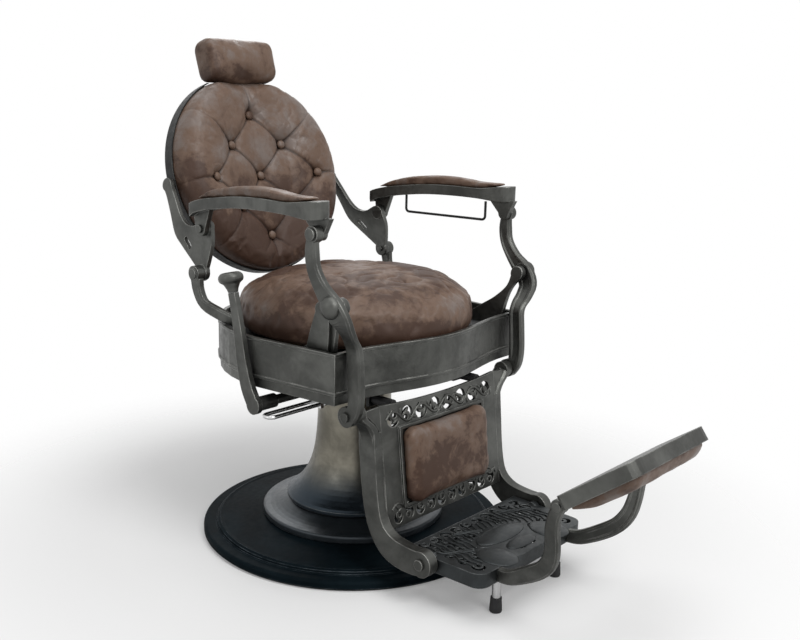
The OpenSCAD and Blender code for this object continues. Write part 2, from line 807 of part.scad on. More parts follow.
module back_cushion() {
  rim_y = dish_front + back_rise;
  color(leather) difference() {
    back_disc(concat(
      [[0, back_rear], [cushion_r - 21, back_rear], [cushion_r - 8, back_rear + 6], [cushion_r, back_rear + 16]],
      [for (i = [0:8]) let(a = 90 * i / 8) [cushion_r - roll_r + roll_r * cos(a), rim_y * sin(a)]],
      [[0, rim_y]]), back_flat - 1);
    back_frame() translate([0, dish_y, -back_r]) cylinder(h = 2 * back_r, r = dish_r, $fn = round_n);
  }
}

guide_z0 = 58;
guide_z1 = 150;
post_y = shell_back + bar_t + 10;

module headrest_guide() {
  wall = 7;
  w = post_w + 2 * wall;
  color(iron) back_frame() difference() {
    translate([-w / 2, shell_back, guide_z0]) cube([w, post_y + post_t + wall - shell_back, guide_z1 - guide_z0]);
    translate([-post_w / 2 - pin_fit, post_y - pin_fit, guide_z0 - 1])
      cube([post_w + 2 * pin_fit, post_t + 2 * pin_fit, guide_z1 - guide_z0 + 2]);
  }
}

head_z0 = back_flat + 1;
head_mid = head_z0 + head_h / 2;
head_back = -dish_front + 56.7;
plate_t = 5;

module headrest_post() {
  color(steel) back_frame()
    translate([-post_w / 2, post_y, 28]) cube([post_w, post_t, head_mid - 28 + 22]);
}

module headrest_plate() {
  color(iron) back_frame() union() {
    translate([-80, head_back + gap, head_mid - 34]) cube([160, plate_t, 68]);
    translate([-20, head_back + gap, head_mid - 20]) cube([40, post_y - head_back - gap, 40]);
  }
}

module headrest_pad() {
  r = 26;
  color(leather) back_frame() hull() for (e = [[head_w / 2, 12], [head_w / 2 - 10, 0]])
    translate([-e[0], head_back - head_d / 2, head_mid]) rotate([90, 0, 90]) linear_extrude(2 * e[0])
      hull() for (sy = [-1, 1]) for (sz = [-1, 1])
        translate([sy * (head_d / 2 - r), sz * (head_h / 2 - r)]) circle(r = r - e[1], $fn = 32);
}

// ---- Armrests --------------------------------------------------------------------------------

arm_lug_t = 12;
arm_lug_rear_x = yoke_x - (arm_rear_z - back_hinge_z) * sin(lean) + yoke_t + 3 + gap;
arm_lug_front_x = post_in - gap - arm_lug_t;
arm_rear_y = back_hinge_y + 2;
arm_mid_rear = arm_lug_rear_x + 3;
arm_mid_front = arm_lug_front_x + 12;
arm_yaw = atan((arm_mid_front - arm_mid_rear) / (arm_rear_y + arm_front_y));
arm_line = [[214, 742], [196, 752], [160, 761], [120, 767], [40, 776], [-40, 779], [-120, 778], [-176, 779], [-208, 781]];
arm_bar = [for (p = arm_line) [p[0], p[1], p[0] < -150 ? arm_t + 10 : arm_t]];

// Turns a piece in plan so that it runs through both armrest pins
module arm_turn() {
  translate([arm_mid_rear, arm_rear_y, 0]) rotate([0, 0, arm_yaw]) translate([0, -arm_rear_y, 0]) children();
}

// Plan of the armrest rail between y0 and y1, with its front and rear corners rounded
module arm_plan(y0, y1, front_r, rear_r) {
  x = arm_w / 2;
  polygon(concat(
    arc([-x + front_r, y0 + front_r], front_r, 180, 270, 5), arc([x - front_r, y0 + front_r], front_r, 270, 360, 5),
    arc([x - rear_r, y1 - rear_r], rear_r, 0, 90, 4), arc([-x + rear_r, y1 - rear_r], rear_r, 90, 180, 4)));
}

module armrest() {
  bar = curve(arm_bar, 4);
  difference() {
    union() {
      arm_turn() intersection() {
        side_plate(-arm_w / 2 - 1, arm_w + 2) polygon(ribbon(bar));
        translate([0, 0, arm_rear_z]) linear_extrude(2 * arm_w) arm_plan(-208, 215, 20, 10);
      }
      side_plate(arm_lug_rear_x, arm_lug_t) union() {
        translate([arm_rear_y, arm_rear_z]) circle(r = 16, $fn = small_n);
        polygon([[arm_rear_y - 15, arm_rear_z - 4], [arm_rear_y - 34, 750], [arm_rear_y + 20, 744], [arm_rear_y + 15, arm_rear_z - 4]]);
      }
      side_plate(arm_lug_front_x, arm_lug_t) union() {
        translate([-arm_front_y, arm_front_z]) circle(r = 14, $fn = small_n);
        polygon([[-arm_front_y - 14, arm_front_z], [-arm_front_y - 30, 766], [-arm_front_y + 42, 766], [-arm_front_y + 14, arm_front_z]]);
      }
    }
    x_cylinder(arm_lug_rear_x - 1, arm_lug_rear_x + arm_lug_t + 1, arm_rear_y, arm_rear_z, pin_r + pin_fit);
  }
  x_cylinder(arm_lug_front_x + arm_lug_t - 1, post_out + gap + head_t, -arm_front_y, arm_front_z, pin_r);
  x_cylinder(post_out + gap, post_out + gap + head_t, -arm_front_y, arm_front_z, pin_r + 6);
}

module armrest_left() {
  color(iron) armrest();
}

module armrest_right() {
  color(iron) right_side() armrest();
}

module arm_pad() {
  top = ribbon_side(curve(arm_bar, 4), -1);
  base = [for (q = top) if (q[0] > -176 && q[0] < 190) q];
  m = len(base);
  arm_turn() side_plate(-arm_w / 2 + 2, arm_w - 4) polygon(concat(
    base,
    [for (i = [m - 1:-1:0]) [base[i][0], base[i][1] + 5 + (arm_pad_t - 5) * sin(180 * i / (m - 1))]]));
}

module armrest_pad_left() {
  color(leather) arm_pad();
}

module armrest_pad_right() {
  color(leather) right_side() arm_pad();
}

towel_y0 = -142;
towel_y1 = 95;
towel_z = 717;
towel_bend = 9;
towel_top0 = 760.3;
towel_top1 = 757.6;

module towel_rail() {
  color(dark_iron) arm_turn() translate([-arm_w / 2 + 8, 0, 0]) union() {
    for (e = [[towel_y0, towel_top0], [towel_y1, towel_top1]])
      translate([0, e[0], towel_z + towel_bend]) cylinder(h = e[1] - towel_z - towel_bend, r = wire_r, $fn = 24);
    translate([0, towel_y0 + towel_bend, towel_z]) rotate([-90, 0, 0])
      cylinder(h = towel_y1 - towel_y0 - 2 * towel_bend, r = wire_r, $fn = 24);
    for (e = [[towel_y0 + towel_bend, 180], [towel_y1 - towel_bend, 270]])
      translate([0, e[0], towel_z + towel_bend]) rotate([90, 0, 90]) rotate([0, 0, e[1]])
        rotate_extrude(angle = 90, $fn = small_n) translate([towel_bend, 0]) circle(r = wire_r, $fn = 24);
  }
}

// ---- Leg frame -------------------------------------------------------------------------------

shin_x = 267;
shin_w = 18;
foot_joint_y = -242;
foot_joint_z = 380;

module arm_post() {
  path = curve([
    [post_x, -arm_front_y + 5, arm_front_z - 8, 18, 24, 0], [post_x, -184, 700, 18, 30, 0],
    [post_x, -190, 668, 18, 30, 2], [post_x, -212, 634, 18, 34, 2], [post_x, -240, 605, 18, 46, 2],
    [306, -258, 578, 18, 46, 2], [292, -260, 554, 18, 40, 2], [276, -257, 533, 18, 36, 2],
    [shin_x + 1, -257, 514, 18, 36, 3], [shin_x, -260, 480, 18, 36, 3], [shin_x, -263, 430, 18, 36, 3],
    [shin_x, -260, 398, 18, 34, 0], [shin_x, -250, 378, 18, 30, 0]], 4);
  difference() {
    union() {
      cast_sweep(path);
      x_cylinder(post_in, post_out, -arm_front_y, arm_front_z, 16);
      x_cylinder(post_in, post_out, -elbow_y, elbow_z, 21);
      x_cylinder(shin_x - shin_w / 2, shin_x + shin_w / 2, foot_joint_y, foot_joint_z, 21);
    }
    x_cylinder(post_in - 1, post_out + 1, -arm_front_y, arm_front_z, pin_r + eye_fit);
    x_cylinder(post_in - 1, post_out + 1, -elbow_y, elbow_z, pin_r + pin_fit);
    x_cylinder(shin_x - 20, shin_x + 20, foot_joint_y, foot_joint_z, pin_r + pin_fit);
  }
}

module arm_post_left() {
  color(iron) arm_post();
}

module arm_post_right() {
  color(iron) right_side() arm_post();
}

calf_top_z = 388;
calf_low_z = 128;
calf_front_y = -254;
calf_len = (calf_top_z - calf_low_z) / cos(panel_lean);
calf_sag = 10;

// Rear face of the calf panel at height z
function calf_back_y(z) = calf_front_y + panel_t / cos(panel_lean) - (calf_top_z - z) * tan(panel_lean);

// Calf panel frame: x across, -y forward, z up the panel from its top edge
module calf_plane() {
  translate([0, calf_front_y, calf_top_z]) rotate([-panel_lean, 0, 0]) children();
}

// Cut-out of one cast scroll of radius r
module scroll_cut(r) {
  difference() {
    circle(r = r, $fn = 32);
    translate([r * 0.32, r * 0.22]) circle(r = r * 0.74, $fn = 32);
  }
  translate([r * 0.36, r * 0.2]) circle(r = r * 0.34, $fn = 32);
}

// Row of n scrolls over a length, alternately turned
module scroll_row(n, length, r) {
  step = length / n;
  for (i = [0:n - 1])
    translate([(i + 0.5) * step - length / 2, 0]) rotate(i % 2 == 0 ? 20 : 200) scroll_cut(r);
}

pad_mid_z = -140;

// Outward flare from the top of a calf rail to its eye beside the arm post
module calf_horn() {
  cast_sweep(curve([
    [calf_x + 11.5, -243, 300, 23, 43, 0], [calf_x + 13, -241, 325, 23, 42, 0], [calf_x + 24, -240, 348, 24, 41, 0],
    [calf_x + 42, -240, 366, 24, 39, 0], [calf_x + 54, foot_joint_y, foot_joint_z + 3, 22, 34, 0]], 4));
  x_cylinder(calf_x + 46, shin_x - shin_w / 2 - gap, foot_joint_y, foot_joint_z, 19);
  calf_plane() rotate([90, 0, 0]) translate([0, 0, -panel_t + 1]) linear_extrude(panel_t - 2)
    polygon([[calf_x - 2, -66], [calf_x + 15, -36], [calf_x + 38, -14], [calf_x + 46, -4], [calf_x - 2, -1.5]]);
}

module calf_frame() {
  rail = curve([
    [-240, 334, 42], [-243, 290, 44], [-254, 195, 42], [-270, 140, 42], [-303, 107, 52],
    [-348, 97, 54], [-foot_hinge_y, foot_hinge_z, 50]], 4);
  sag_x = calf_x + 6;
  sag_r = (sag_x * sag_x + calf_sag * calf_sag) / (2 * calf_sag);
  color(iron) difference() {
    union() {
      calf_plane() rotate([90, 0, 0]) translate([0, 0, -panel_t]) linear_extrude(panel_t) difference() {
        translate([-calf_x - 1, -calf_len]) square([2 * calf_x + 2, calf_len]);
        translate([0, sag_r - calf_sag]) circle(r = sag_r, $fn = 360);
        translate([0, -34]) scroll_row(8, 352, 18);
        translate([0, -calf_len + 20]) scroll_row(10, 350, 13);
      }
      calf_plane() rotate([90, 0, 0]) linear_extrude(5) difference() {
        translate([-calf_pad_w / 2 - 8, pad_mid_z - calf_pad_h / 2 - 8]) square([calf_pad_w + 16, calf_pad_h + 16]);
        translate([-calf_pad_w / 2 - 1, pad_mid_z - calf_pad_h / 2 - 1]) square([calf_pad_w + 2, calf_pad_h + 2]);
      }
      for (x = [-calf_x - calf_rail_w, calf_x])
        side_plate(x, calf_rail_w) union() {
          polygon(ribbon(rail));
          translate([-foot_hinge_y, foot_hinge_z]) circle(r = 27, $fn = small_n);
        }
      calf_horn();
      right_side() calf_horn();
    }
    x_cylinder(-shin_x, -calf_x - 20, foot_joint_y, foot_joint_z, pin_r + pin_fit);
    x_cylinder(calf_x + 20, shin_x, foot_joint_y, foot_joint_z, pin_r + pin_fit);
    x_cylinder(-calf_x - calf_rail_w - 1, -calf_x + 1, -foot_hinge_y, foot_hinge_z, pin_r + pin_fit);
    x_cylinder(calf_x - 1, calf_x + calf_rail_w + 1, -foot_hinge_y, foot_hinge_z, pin_r + pin_fit);
  }
}

module rounded_box_outline(w, h, r) {
  union() {
    translate([-w / 2 + r, -h / 2]) square([w - 2 * r, h]);
    translate([-w / 2, -h / 2 + r]) square([w, h - 2 * r]);
    for (sx = [-1, 1]) for (sy = [-1, 1]) translate([sx * (w / 2 - r), sy * (h / 2 - r)]) circle(r = r, $fn = small_n);
  }
}

module calf_pad() {
  color(leather) calf_plane() translate([0, 0, pad_mid_z]) rotate([90, 0, 0]) linear_extrude(calf_pad_t)
    rounded_box_outline(calf_pad_w, calf_pad_h, 24);
}

module foot_bolts() {
  x1 = shin_x + shin_w / 2;
  x2 = calf_x + calf_rail_w;
  color(steel) for (side = [0, 1]) mirror([side, 0, 0]) {
    x_cylinder(shin_x - 38, x1 + head_t, foot_joint_y, foot_joint_z, pin_r);
    x_cylinder(x1, x1 + head_t, foot_joint_y, foot_joint_z, pin_r + 4);
    x_cylinder(calf_x - 16, x2 + head_t, -foot_hinge_y, foot_hinge_z, pin_r);
    x_cylinder(x2, x2 + head_t, -foot_hinge_y, foot_hinge_z, pin_r + 5);
  }
}

// ---- Foot rest -------------------------------------------------------------------------------

plate_rear_y = 330;
plate_rear_x = calf_x - 3;
plate_front_x = calf_x - 8;
plate_wall = 7;
plate_web = 9;

// Outline of the footplate, inset by d
function plate_outline(d) = let(r = 26) concat(
  [[-plate_rear_x + d, -plate_rear_y - d]],
  arc([-plate_front_x + r, -plate_front_y + r], r - d, 180, 270, 5),
  arc([plate_front_x - r, -plate_front_y + r], r - d, 270, 360, 5),
  [[plate_rear_x - d, -plate_rear_y - d]]);

// True where the footplate keeps a solid oval or a solid sole
function plate_solid(x, y) =
  pow(x / 92, 2) + pow((y + 428) / 44, 2) < 1 || pow((abs(x) - 88) / 52, 2) + pow((y + 492) / 34, 2) < 1;

module footplate() {
  z0 = plate_z - plate_h;
  boss = 14;
  color(iron) difference() {
    union() {
      translate([0, 0, z0]) linear_extrude(plate_h) difference() {
        polygon(plate_outline(0));
        polygon(plate_outline(plate_wall));
      }
      translate([0, 0, plate_z - plate_web]) linear_extrude(plate_web) difference() {
        polygon(plate_outline(1));
        for (i = [0:9]) for (j = [0:4])
          let(x = (i - 4.5) * 34, y = -352 - j * 34)
            if (!plate_solid(x, y)) translate([x, y]) rotate(90 * ((i + j) % 4) + 10) scroll_cut(14);
      }
      for (x = [-plate_rear_x, plate_rear_x - boss])
        x_cylinder(x, x + boss, -foot_hinge_y, foot_hinge_z, 14);
      for (x = [-leg_x, leg_x])
        translate([x, -leg_y, plate_z - plate_web - 14]) cylinder(h = 16, r = leg_r + 5, $fn = small_n);
    }
    for (x = [-plate_rear_x - 1, plate_rear_x - boss - 1])
      x_cylinder(x, x + boss + 2, -foot_hinge_y, foot_hinge_z, pin_r + pin_fit);
    for (x = [-leg_x, leg_x])
      translate([x, -leg_y, 0]) cylinder(h = plate_z - plate_web + 1, r = leg_r + pin_fit, $fn = small_n);
  }
}

leg_x = 106;
leg_y = 500;
tip_z = 0.5;
tip_h = 30;
tip_floor = 8;

module support_legs() {
  color(steel) for (x = [-leg_x, leg_x])
    translate([x, -leg_y, tip_z + tip_floor]) cylinder(h = plate_z - plate_web + 1 - tip_z - tip_floor, r = leg_r, $fn = small_n);
}

module leg_tips() {
  color(rubber) for (x = [-leg_x, leg_x])
    translate([x, -leg_y, tip_z]) rotate_extrude($fn = small_n) polygon([
      [0, 0], [leg_r + 3, 0], [leg_r + 4, 2], [leg_r + 2.5, tip_h], [leg_r + pin_fit, tip_h],
      [leg_r + pin_fit, tip_floor], [0, tip_floor]]);
}

hook_w = 16;
hook_x = 166;
flap_lug_w = 18;
flap_knuckle_r = 14;

module hook_arm() {
  hinge = [-flap_hinge_y, flap_hinge_z];
  path = curve([
    [124, -plate_front_y, plate_z - 15, hook_w, 29, 0], [126, -546, 97, hook_w, 30, 0], [130, -590, 121, hook_w, 33, 2],
    [136, -624, 146, hook_w, 33, 2], [144, -643, 175, hook_w, 32, 2], [152, -650, 208, hook_w, 30, 2],
    [159, -652, 240, hook_w, 28, 1], [164, -658, 268, hook_w, 25, 0], [hook_x, hinge[0] + 2, hinge[1] - 6, hook_w, 24, 0]], 4);
  difference() {
    union() {
      cast_sweep(path);
      x_cylinder(hook_x - hook_w / 2, hook_x + hook_w / 2, hinge[0], hinge[1], flap_knuckle_r);
    }
    translate([0, 50 - plate_front_y, plate_z]) cube([2 * flap_x, 100, 2 * plate_z], center = true);
  }
  x_cylinder(hook_x - hook_w / 2 - flap_lug_w, hook_x, hinge[0], hinge[1], pin_r);
  x_cylinder(hook_x, hook_x + hook_w / 2 + 4, hinge[0], hinge[1], pin_r + 3);
}

module hook_arm_left() {
  color(iron) hook_arm();
}

module hook_arm_right() {
  color(iron) right_side() hook_arm();
}

flap_y0 = 17;
flap_top = 18;
tray_wall = 5;

// Flap frame: x across, -y towards the flap's front edge, z out of its metal face
module flap_plane() {
  translate([0, -flap_hinge_y, flap_hinge_z]) rotate([-flap_tilt, 0, 0]) children();
}

// Outline of the flap, inset by d
function flap_outline(d) = let(r = 34, y1 = -flap_y0 - flap_len) concat(
  arc([flap_x - 10, -flap_y0 - 10], 10 - d, 0, 90, 3),
  arc([-flap_x + 10, -flap_y0 - 10], 10 - d, 90, 180, 3),
  arc([-flap_front_x + r, y1 + r], r - d, 190, 270, 5),
  arc([flap_front_x - r, y1 + r], r - d, 270, 350, 5));

module flap_tray() {
  z0 = flap_top - flap_h;
  lug_x = hook_x - hook_w / 2 - 2 * gap - flap_lug_w + 3;
  color(iron) flap_plane() difference() {
    union() {
      translate([0, 0, flap_top - 3]) linear_extrude(3) polygon(flap_outline(0));
      translate([0, 0, z0]) linear_extrude(flap_h) difference() {
        polygon(flap_outline(0));
        polygon(flap_outline(tray_wall));
      }
      for (x = [-lug_x - flap_lug_w + 3, lug_x])
        side_plate(x, flap_lug_w - 3) union() {
          circle(r = 12, $fn = small_n);
          translate([-flap_y0 - 1, -10]) square([flap_y0 + 1, 22]);
        }
    }
    for (x = [-lug_x - flap_lug_w, lug_x - 3])
      x_cylinder(x, x + flap_lug_w + 3, 0, 0, pin_r + pin_fit);
  }
}

module flap_pad() {
  color(leather) flap_plane() hull() {
    translate([0, 0, flap_top - flap_h - 6]) linear_extrude(flap_h + 3 - 0.3) polygon(flap_outline(tray_wall + 0.6));
    translate([0, 0, flap_top - flap_h - 20]) linear_extrude(2) polygon([
      [flap_x - 46, -flap_y0 - 34], [46 - flap_x, -flap_y0 - 34],
      [34 - flap_front_x, 30 - flap_y0 - flap_len], [flap_front_x - 34, 30 - flap_y0 - flap_len]]);
  }
}

base_disc();
floor_ring();
step_ring();
column();
pump_cylinder();
pump_bolts();
guide_bush();
rod_seal();
gland_nut();
ram_rod();
piston_head();
piston_seal();
turret_hub();
swivel_bush();
thrust_washer();
seat_frame();
seat_board();
seat_skirt();
seat_cushion();
ear_right();
ear_left();
rear_bracket_right();
rear_bracket_left();
lever_bracket();
stop_bumpers();
pump_lever();
lever_knob();
recline_lever();
brake_loop();
brake_spring();
back_yoke_right();
back_yoke_left();
back_crossbar();
back_shell();
back_cushion();
headrest_guide();
headrest_post();
headrest_plate();
headrest_pad();
armrest_right();
armrest_pad_right();
armrest_left();
armrest_pad_left();
towel_rail();
arm_post_right();
arm_post_left();
calf_frame();
calf_pad();
foot_bolts();
footplate();
hook_arm_right();
hook_arm_left();
support_legs();
leg_tips();
flap_tray();
flap_pad();
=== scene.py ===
"""Looks of a hydraulic barber chair: tufted and padded leather, antique castings, studio stage."""
import math
from collections import namedtuple

import bmesh
import bpy
import numpy as np
from mathutils import Matrix, Vector, noise


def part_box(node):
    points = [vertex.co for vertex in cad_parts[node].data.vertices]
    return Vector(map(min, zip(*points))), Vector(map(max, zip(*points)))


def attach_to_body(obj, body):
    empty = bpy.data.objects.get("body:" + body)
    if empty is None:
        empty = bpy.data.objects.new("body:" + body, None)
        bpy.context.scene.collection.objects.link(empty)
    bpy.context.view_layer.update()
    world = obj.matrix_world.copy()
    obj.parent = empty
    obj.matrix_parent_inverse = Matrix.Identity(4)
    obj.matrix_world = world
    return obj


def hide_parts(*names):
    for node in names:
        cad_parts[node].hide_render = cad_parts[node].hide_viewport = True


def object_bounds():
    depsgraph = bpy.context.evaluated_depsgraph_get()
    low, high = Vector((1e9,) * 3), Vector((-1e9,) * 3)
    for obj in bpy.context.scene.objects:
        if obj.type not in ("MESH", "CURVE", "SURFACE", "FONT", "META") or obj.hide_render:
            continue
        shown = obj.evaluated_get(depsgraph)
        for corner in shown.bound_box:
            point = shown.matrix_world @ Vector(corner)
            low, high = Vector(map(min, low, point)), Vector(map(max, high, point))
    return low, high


bl_info = {
    "name": "Barber chair looks",
    "version": (1, 0, 0),
    "blender": (4, 5, 0),
    "location": "View3D > Sidebar > Barber chair",
    "description": "Upholstery, castings and stage of a hydraulic barber chair",
    "category": "Object",
}

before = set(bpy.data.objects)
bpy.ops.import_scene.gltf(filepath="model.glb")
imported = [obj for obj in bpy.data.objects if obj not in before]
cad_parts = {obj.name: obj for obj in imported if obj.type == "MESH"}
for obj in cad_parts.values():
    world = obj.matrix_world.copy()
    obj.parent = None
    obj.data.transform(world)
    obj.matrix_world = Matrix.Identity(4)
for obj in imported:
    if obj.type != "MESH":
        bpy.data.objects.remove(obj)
CAD_BOX = [[float(c) for c in corner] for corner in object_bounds()]

# Frame of the round back: its centre, tilt, the hollow of its front, and its rolled rim
BACK_CENTRE = Vector((0, 0.338, 0.806))
BACK_TILT = math.radians(16.5)
DISH_AXIS = 0.392
DISH_RADIUS = 0.378
ROLL_START = 0.1885
ROLL = 0.05
BACK_REAR = -0.045

# Places of the back's buttons, across and up, in metres
BUTTONS = [(0, 0.141), (-0.077, 0.066), (0.077, 0.066), (0, -0.008), (-0.158, -0.012), (0.158, -0.012),
           (-0.077, -0.082), (0.077, -0.082), (0, -0.155)]
FOLDS = [(0, 1), (0, 2), (1, 3), (2, 3), (1, 4), (2, 5), (3, 6), (3, 7), (4, 6), (5, 7), (6, 8), (7, 8)]
RIM_FOLDS = [(0, (-0.004, 0.24)), (1, (-0.135, 0.115), (-0.185, 0.155)), (2, (0.135, 0.115), (0.185, 0.155)),
             (4, (-0.2, -0.014), (-0.24, -0.02)), (5, (0.2, -0.014), (0.24, -0.02)),
             (6, (-0.13, -0.135), (-0.17, -0.172)), (7, (0.13, -0.135), (0.17, -0.172)), (8, (-0.004, -0.24)),
             (8, (-0.042, -0.196)), (8, (0.042, -0.196))]


# ---- Sizes and colours ---------------------------------------------------------------------------

class UpholsterySettings(bpy.types.PropertyGroup):
    hide: bpy.props.FloatVectorProperty(
        name="Hide", description="Main colour of the leather", subtype="COLOR", size=4,
        default=(0.158, 0.099, 0.069, 1), min=0, max=1)
    hide_dark: bpy.props.FloatVectorProperty(
        name="Dark hide", description="Colour of the hide's dark blotches", subtype="COLOR", size=4,
        default=(0.055, 0.027, 0.017, 1), min=0, max=1)
    hide_worn: bpy.props.FloatVectorProperty(
        name="Worn hide", description="Colour where the hide is rubbed pale", subtype="COLOR", size=4,
        default=(0.2, 0.158, 0.137, 1), min=0, max=1)
    button_radius: bpy.props.FloatProperty(
        name="Button radius", description="Radius of a covered button", default=0.0105, unit="LENGTH")
    fold_depth: bpy.props.FloatProperty(
        name="Fold depth", description="Depth of the sewn folds between buttons", default=0.0052,
        unit="LENGTH")
    button_depth: bpy.props.FloatProperty(
        name="Button depth", description="How far the buttons pull the hide in", default=0.015,
        unit="LENGTH")


class MetalSettings(bpy.types.PropertyGroup):
    pewter: bpy.props.FloatVectorProperty(
        name="Pewter", description="Colour of the antique castings", subtype="COLOR", size=4,
        default=(0.113, 0.115, 0.107, 1), min=0, max=1)
    pewter_worn: bpy.props.FloatVectorProperty(
        name="Worn pewter", description="Colour of rubbed edges", subtype="COLOR", size=4,
        default=(0.36, 0.36, 0.34, 1), min=0, max=1)
    column: bpy.props.FloatVectorProperty(
        name="Column", description="Colour of the pump column", subtype="COLOR", size=4,
        default=(0.23, 0.215, 0.175, 1), min=0, max=1)
    base: bpy.props.FloatVectorProperty(
        name="Base", description="Colour of the floor disc", subtype="COLOR", size=4,
        default=(0.007, 0.013, 0.017, 1), min=0, max=1)


class StageSettings(bpy.types.PropertyGroup):
    key_power: bpy.props.FloatProperty(
        name="Key light", description="Power of the soft key light", default=58.0, unit="POWER")
    fill_power: bpy.props.FloatProperty(
        name="Fill light", description="Power of the soft fill light", default=14.0, unit="POWER")
    floor_glow: bpy.props.FloatProperty(
        name="Floor glow", description="Light added to the floor as seen", default=0.2)
    sky_power: bpy.props.FloatProperty(
        name="Overhead light", description="Power of the wide light overhead", default=45.0, unit="POWER")
    world_light: bpy.props.FloatProperty(
        name="World light", description="Strength of the even studio light", default=0.26)


# ---- Materials -----------------------------------------------------------------------------------

# Scales of the leather's patterns, per metre
HIDE_FINE = 42.0
HIDE_SCUFFS = 17.0
HIDE_SPECKS = 170.0
HIDE_PORES = 620.0
HIDE_CREASES = 70.0
HIDE_BLOTCHES = 9.0
SMALL_PAD_BLOTCHES = 14.0

# Scales of the castings' patterns, per metre, and the reach of their worn edges and of their darkened
# hollows, in metres
CAST_CLOUD = 11.0
CAST_FINE = 90.0
CAST_GRIT = 240.0
WEAR_PATCHES = 24.0
WEAR_RADIUS = 0.003
WEAR_SAMPLES = 6
HOLLOW_REACH = 0.02

# Heights where the column's foot turns dark, and the colour below them, a painted reflection of the dark base
COLUMN_FOOT_REFLECTION = (0.1, 0.19, (0.03, 0.04, 0.05, 1))


def new_group(name, inputs, outputs):
    tree = bpy.data.node_groups.new(name, "ShaderNodeTree")
    for kind, label, value in inputs:
        socket = tree.interface.new_socket(name=label, in_out="INPUT", socket_type=kind)
        socket.default_value = value
    for kind, label in outputs:
        tree.interface.new_socket(name=label, in_out="OUTPUT", socket_type=kind)
    return tree, tree.nodes.new("NodeGroupInput"), tree.nodes.new("NodeGroupOutput")


def node(tree, kind, **values):
    """A shader node with its inputs or its own settings filled in by name."""
    made = tree.nodes.new(kind)
    for key, value in values.items():
        if key in made.inputs:
            made.inputs[key].default_value = value
        else:
            setattr(made, key, value)
    return made


def link(tree, source, target):
    tree.links.new(source, target)


def noise_at(tree, vector, scale, detail=4.0, roughness=0.55, distortion=0.0):
    made = node(tree, "ShaderNodeTexNoise", Scale=scale, Detail=detail, Roughness=roughness,
                Distortion=distortion)
    link(tree, vector, made.inputs["Vector"])
    return made.outputs["Fac"]


def ramp(tree, source, low, high, start=0.0, end=1.0):
    """Carries a value from between low and high to between start and end, smoothly."""
    made = node(tree, "ShaderNodeMapRange")
    made.interpolation_type = "SMOOTHSTEP"
    made.inputs["From Min"].default_value = low
    made.inputs["From Max"].default_value = high
    made.inputs["To Min"].default_value = start
    made.inputs["To Max"].default_value = end
    link(tree, source, made.inputs["Value"])
    return made.outputs["Result"]


def blend_colour(tree, factor, a, b):
    """Mixes two colours, each a plain one or a node's output."""
    made = node(tree, "ShaderNodeMix", data_type="RGBA")
    link(tree, factor, made.inputs["Factor"])
    for source, socket in ((a, made.inputs[6]), (b, made.inputs[7])):
        if isinstance(source, tuple):
            socket.default_value = source
        else:
            link(tree, source, socket)
    return made.outputs[2]


def maths(tree, operation, a, b=None):
    made = node(tree, "ShaderNodeMath", operation=operation)
    for source, socket in ((a, made.inputs[0]), (b, made.inputs[1])):
        if source is None:
            continue
        if isinstance(source, (int, float)):
            socket.default_value = source
        else:
            link(tree, source, socket)
    return made.outputs[0]


def edge_wear_group():
    """Masks of rubbed edges and of hollows, where the colour is darkened."""
    tree, start, end = new_group(
        "edge wear", [("NodeSocketFloat", "Radius", WEAR_RADIUS),
                      ("NodeSocketFloat", "Patchiness", WEAR_PATCHES)],
        [("NodeSocketFloat", "Edge"), ("NodeSocketFloat", "Hollow"), ("NodeSocketVector", "Rounded")])
    place = node(tree, "ShaderNodeTexCoord").outputs["Object"]
    bevel = node(tree, "ShaderNodeBevel")
    bevel.samples = WEAR_SAMPLES
    link(tree, start.outputs["Radius"], bevel.inputs["Radius"])
    geometry = node(tree, "ShaderNodeNewGeometry")
    dot = node(tree, "ShaderNodeVectorMath", operation="DOT_PRODUCT")
    link(tree, bevel.outputs["Normal"], dot.inputs[0])
    link(tree, geometry.outputs["Normal"], dot.inputs[1])
    bend = ramp(tree, dot.outputs["Value"], 0.995, 0.86)
    patch = node(tree, "ShaderNodeTexNoise", Detail=5.0, Roughness=0.6)
    link(tree, place, patch.inputs["Vector"])
    link(tree, start.outputs["Patchiness"], patch.inputs["Scale"])
    worn = ramp(tree, patch.outputs["Fac"], 0.34, 0.6)
    occlusion = node(tree, "ShaderNodeAmbientOcclusion", Distance=HOLLOW_REACH)
    occlusion.samples = WEAR_SAMPLES
    link(tree, maths(tree, "MULTIPLY", bend, worn), end.inputs["Edge"])
    link(tree, ramp(tree, occlusion.outputs["AO"], 0.72, 0.25), end.inputs["Hollow"])
    link(tree, bevel.outputs["Normal"], end.inputs["Rounded"])
    return tree


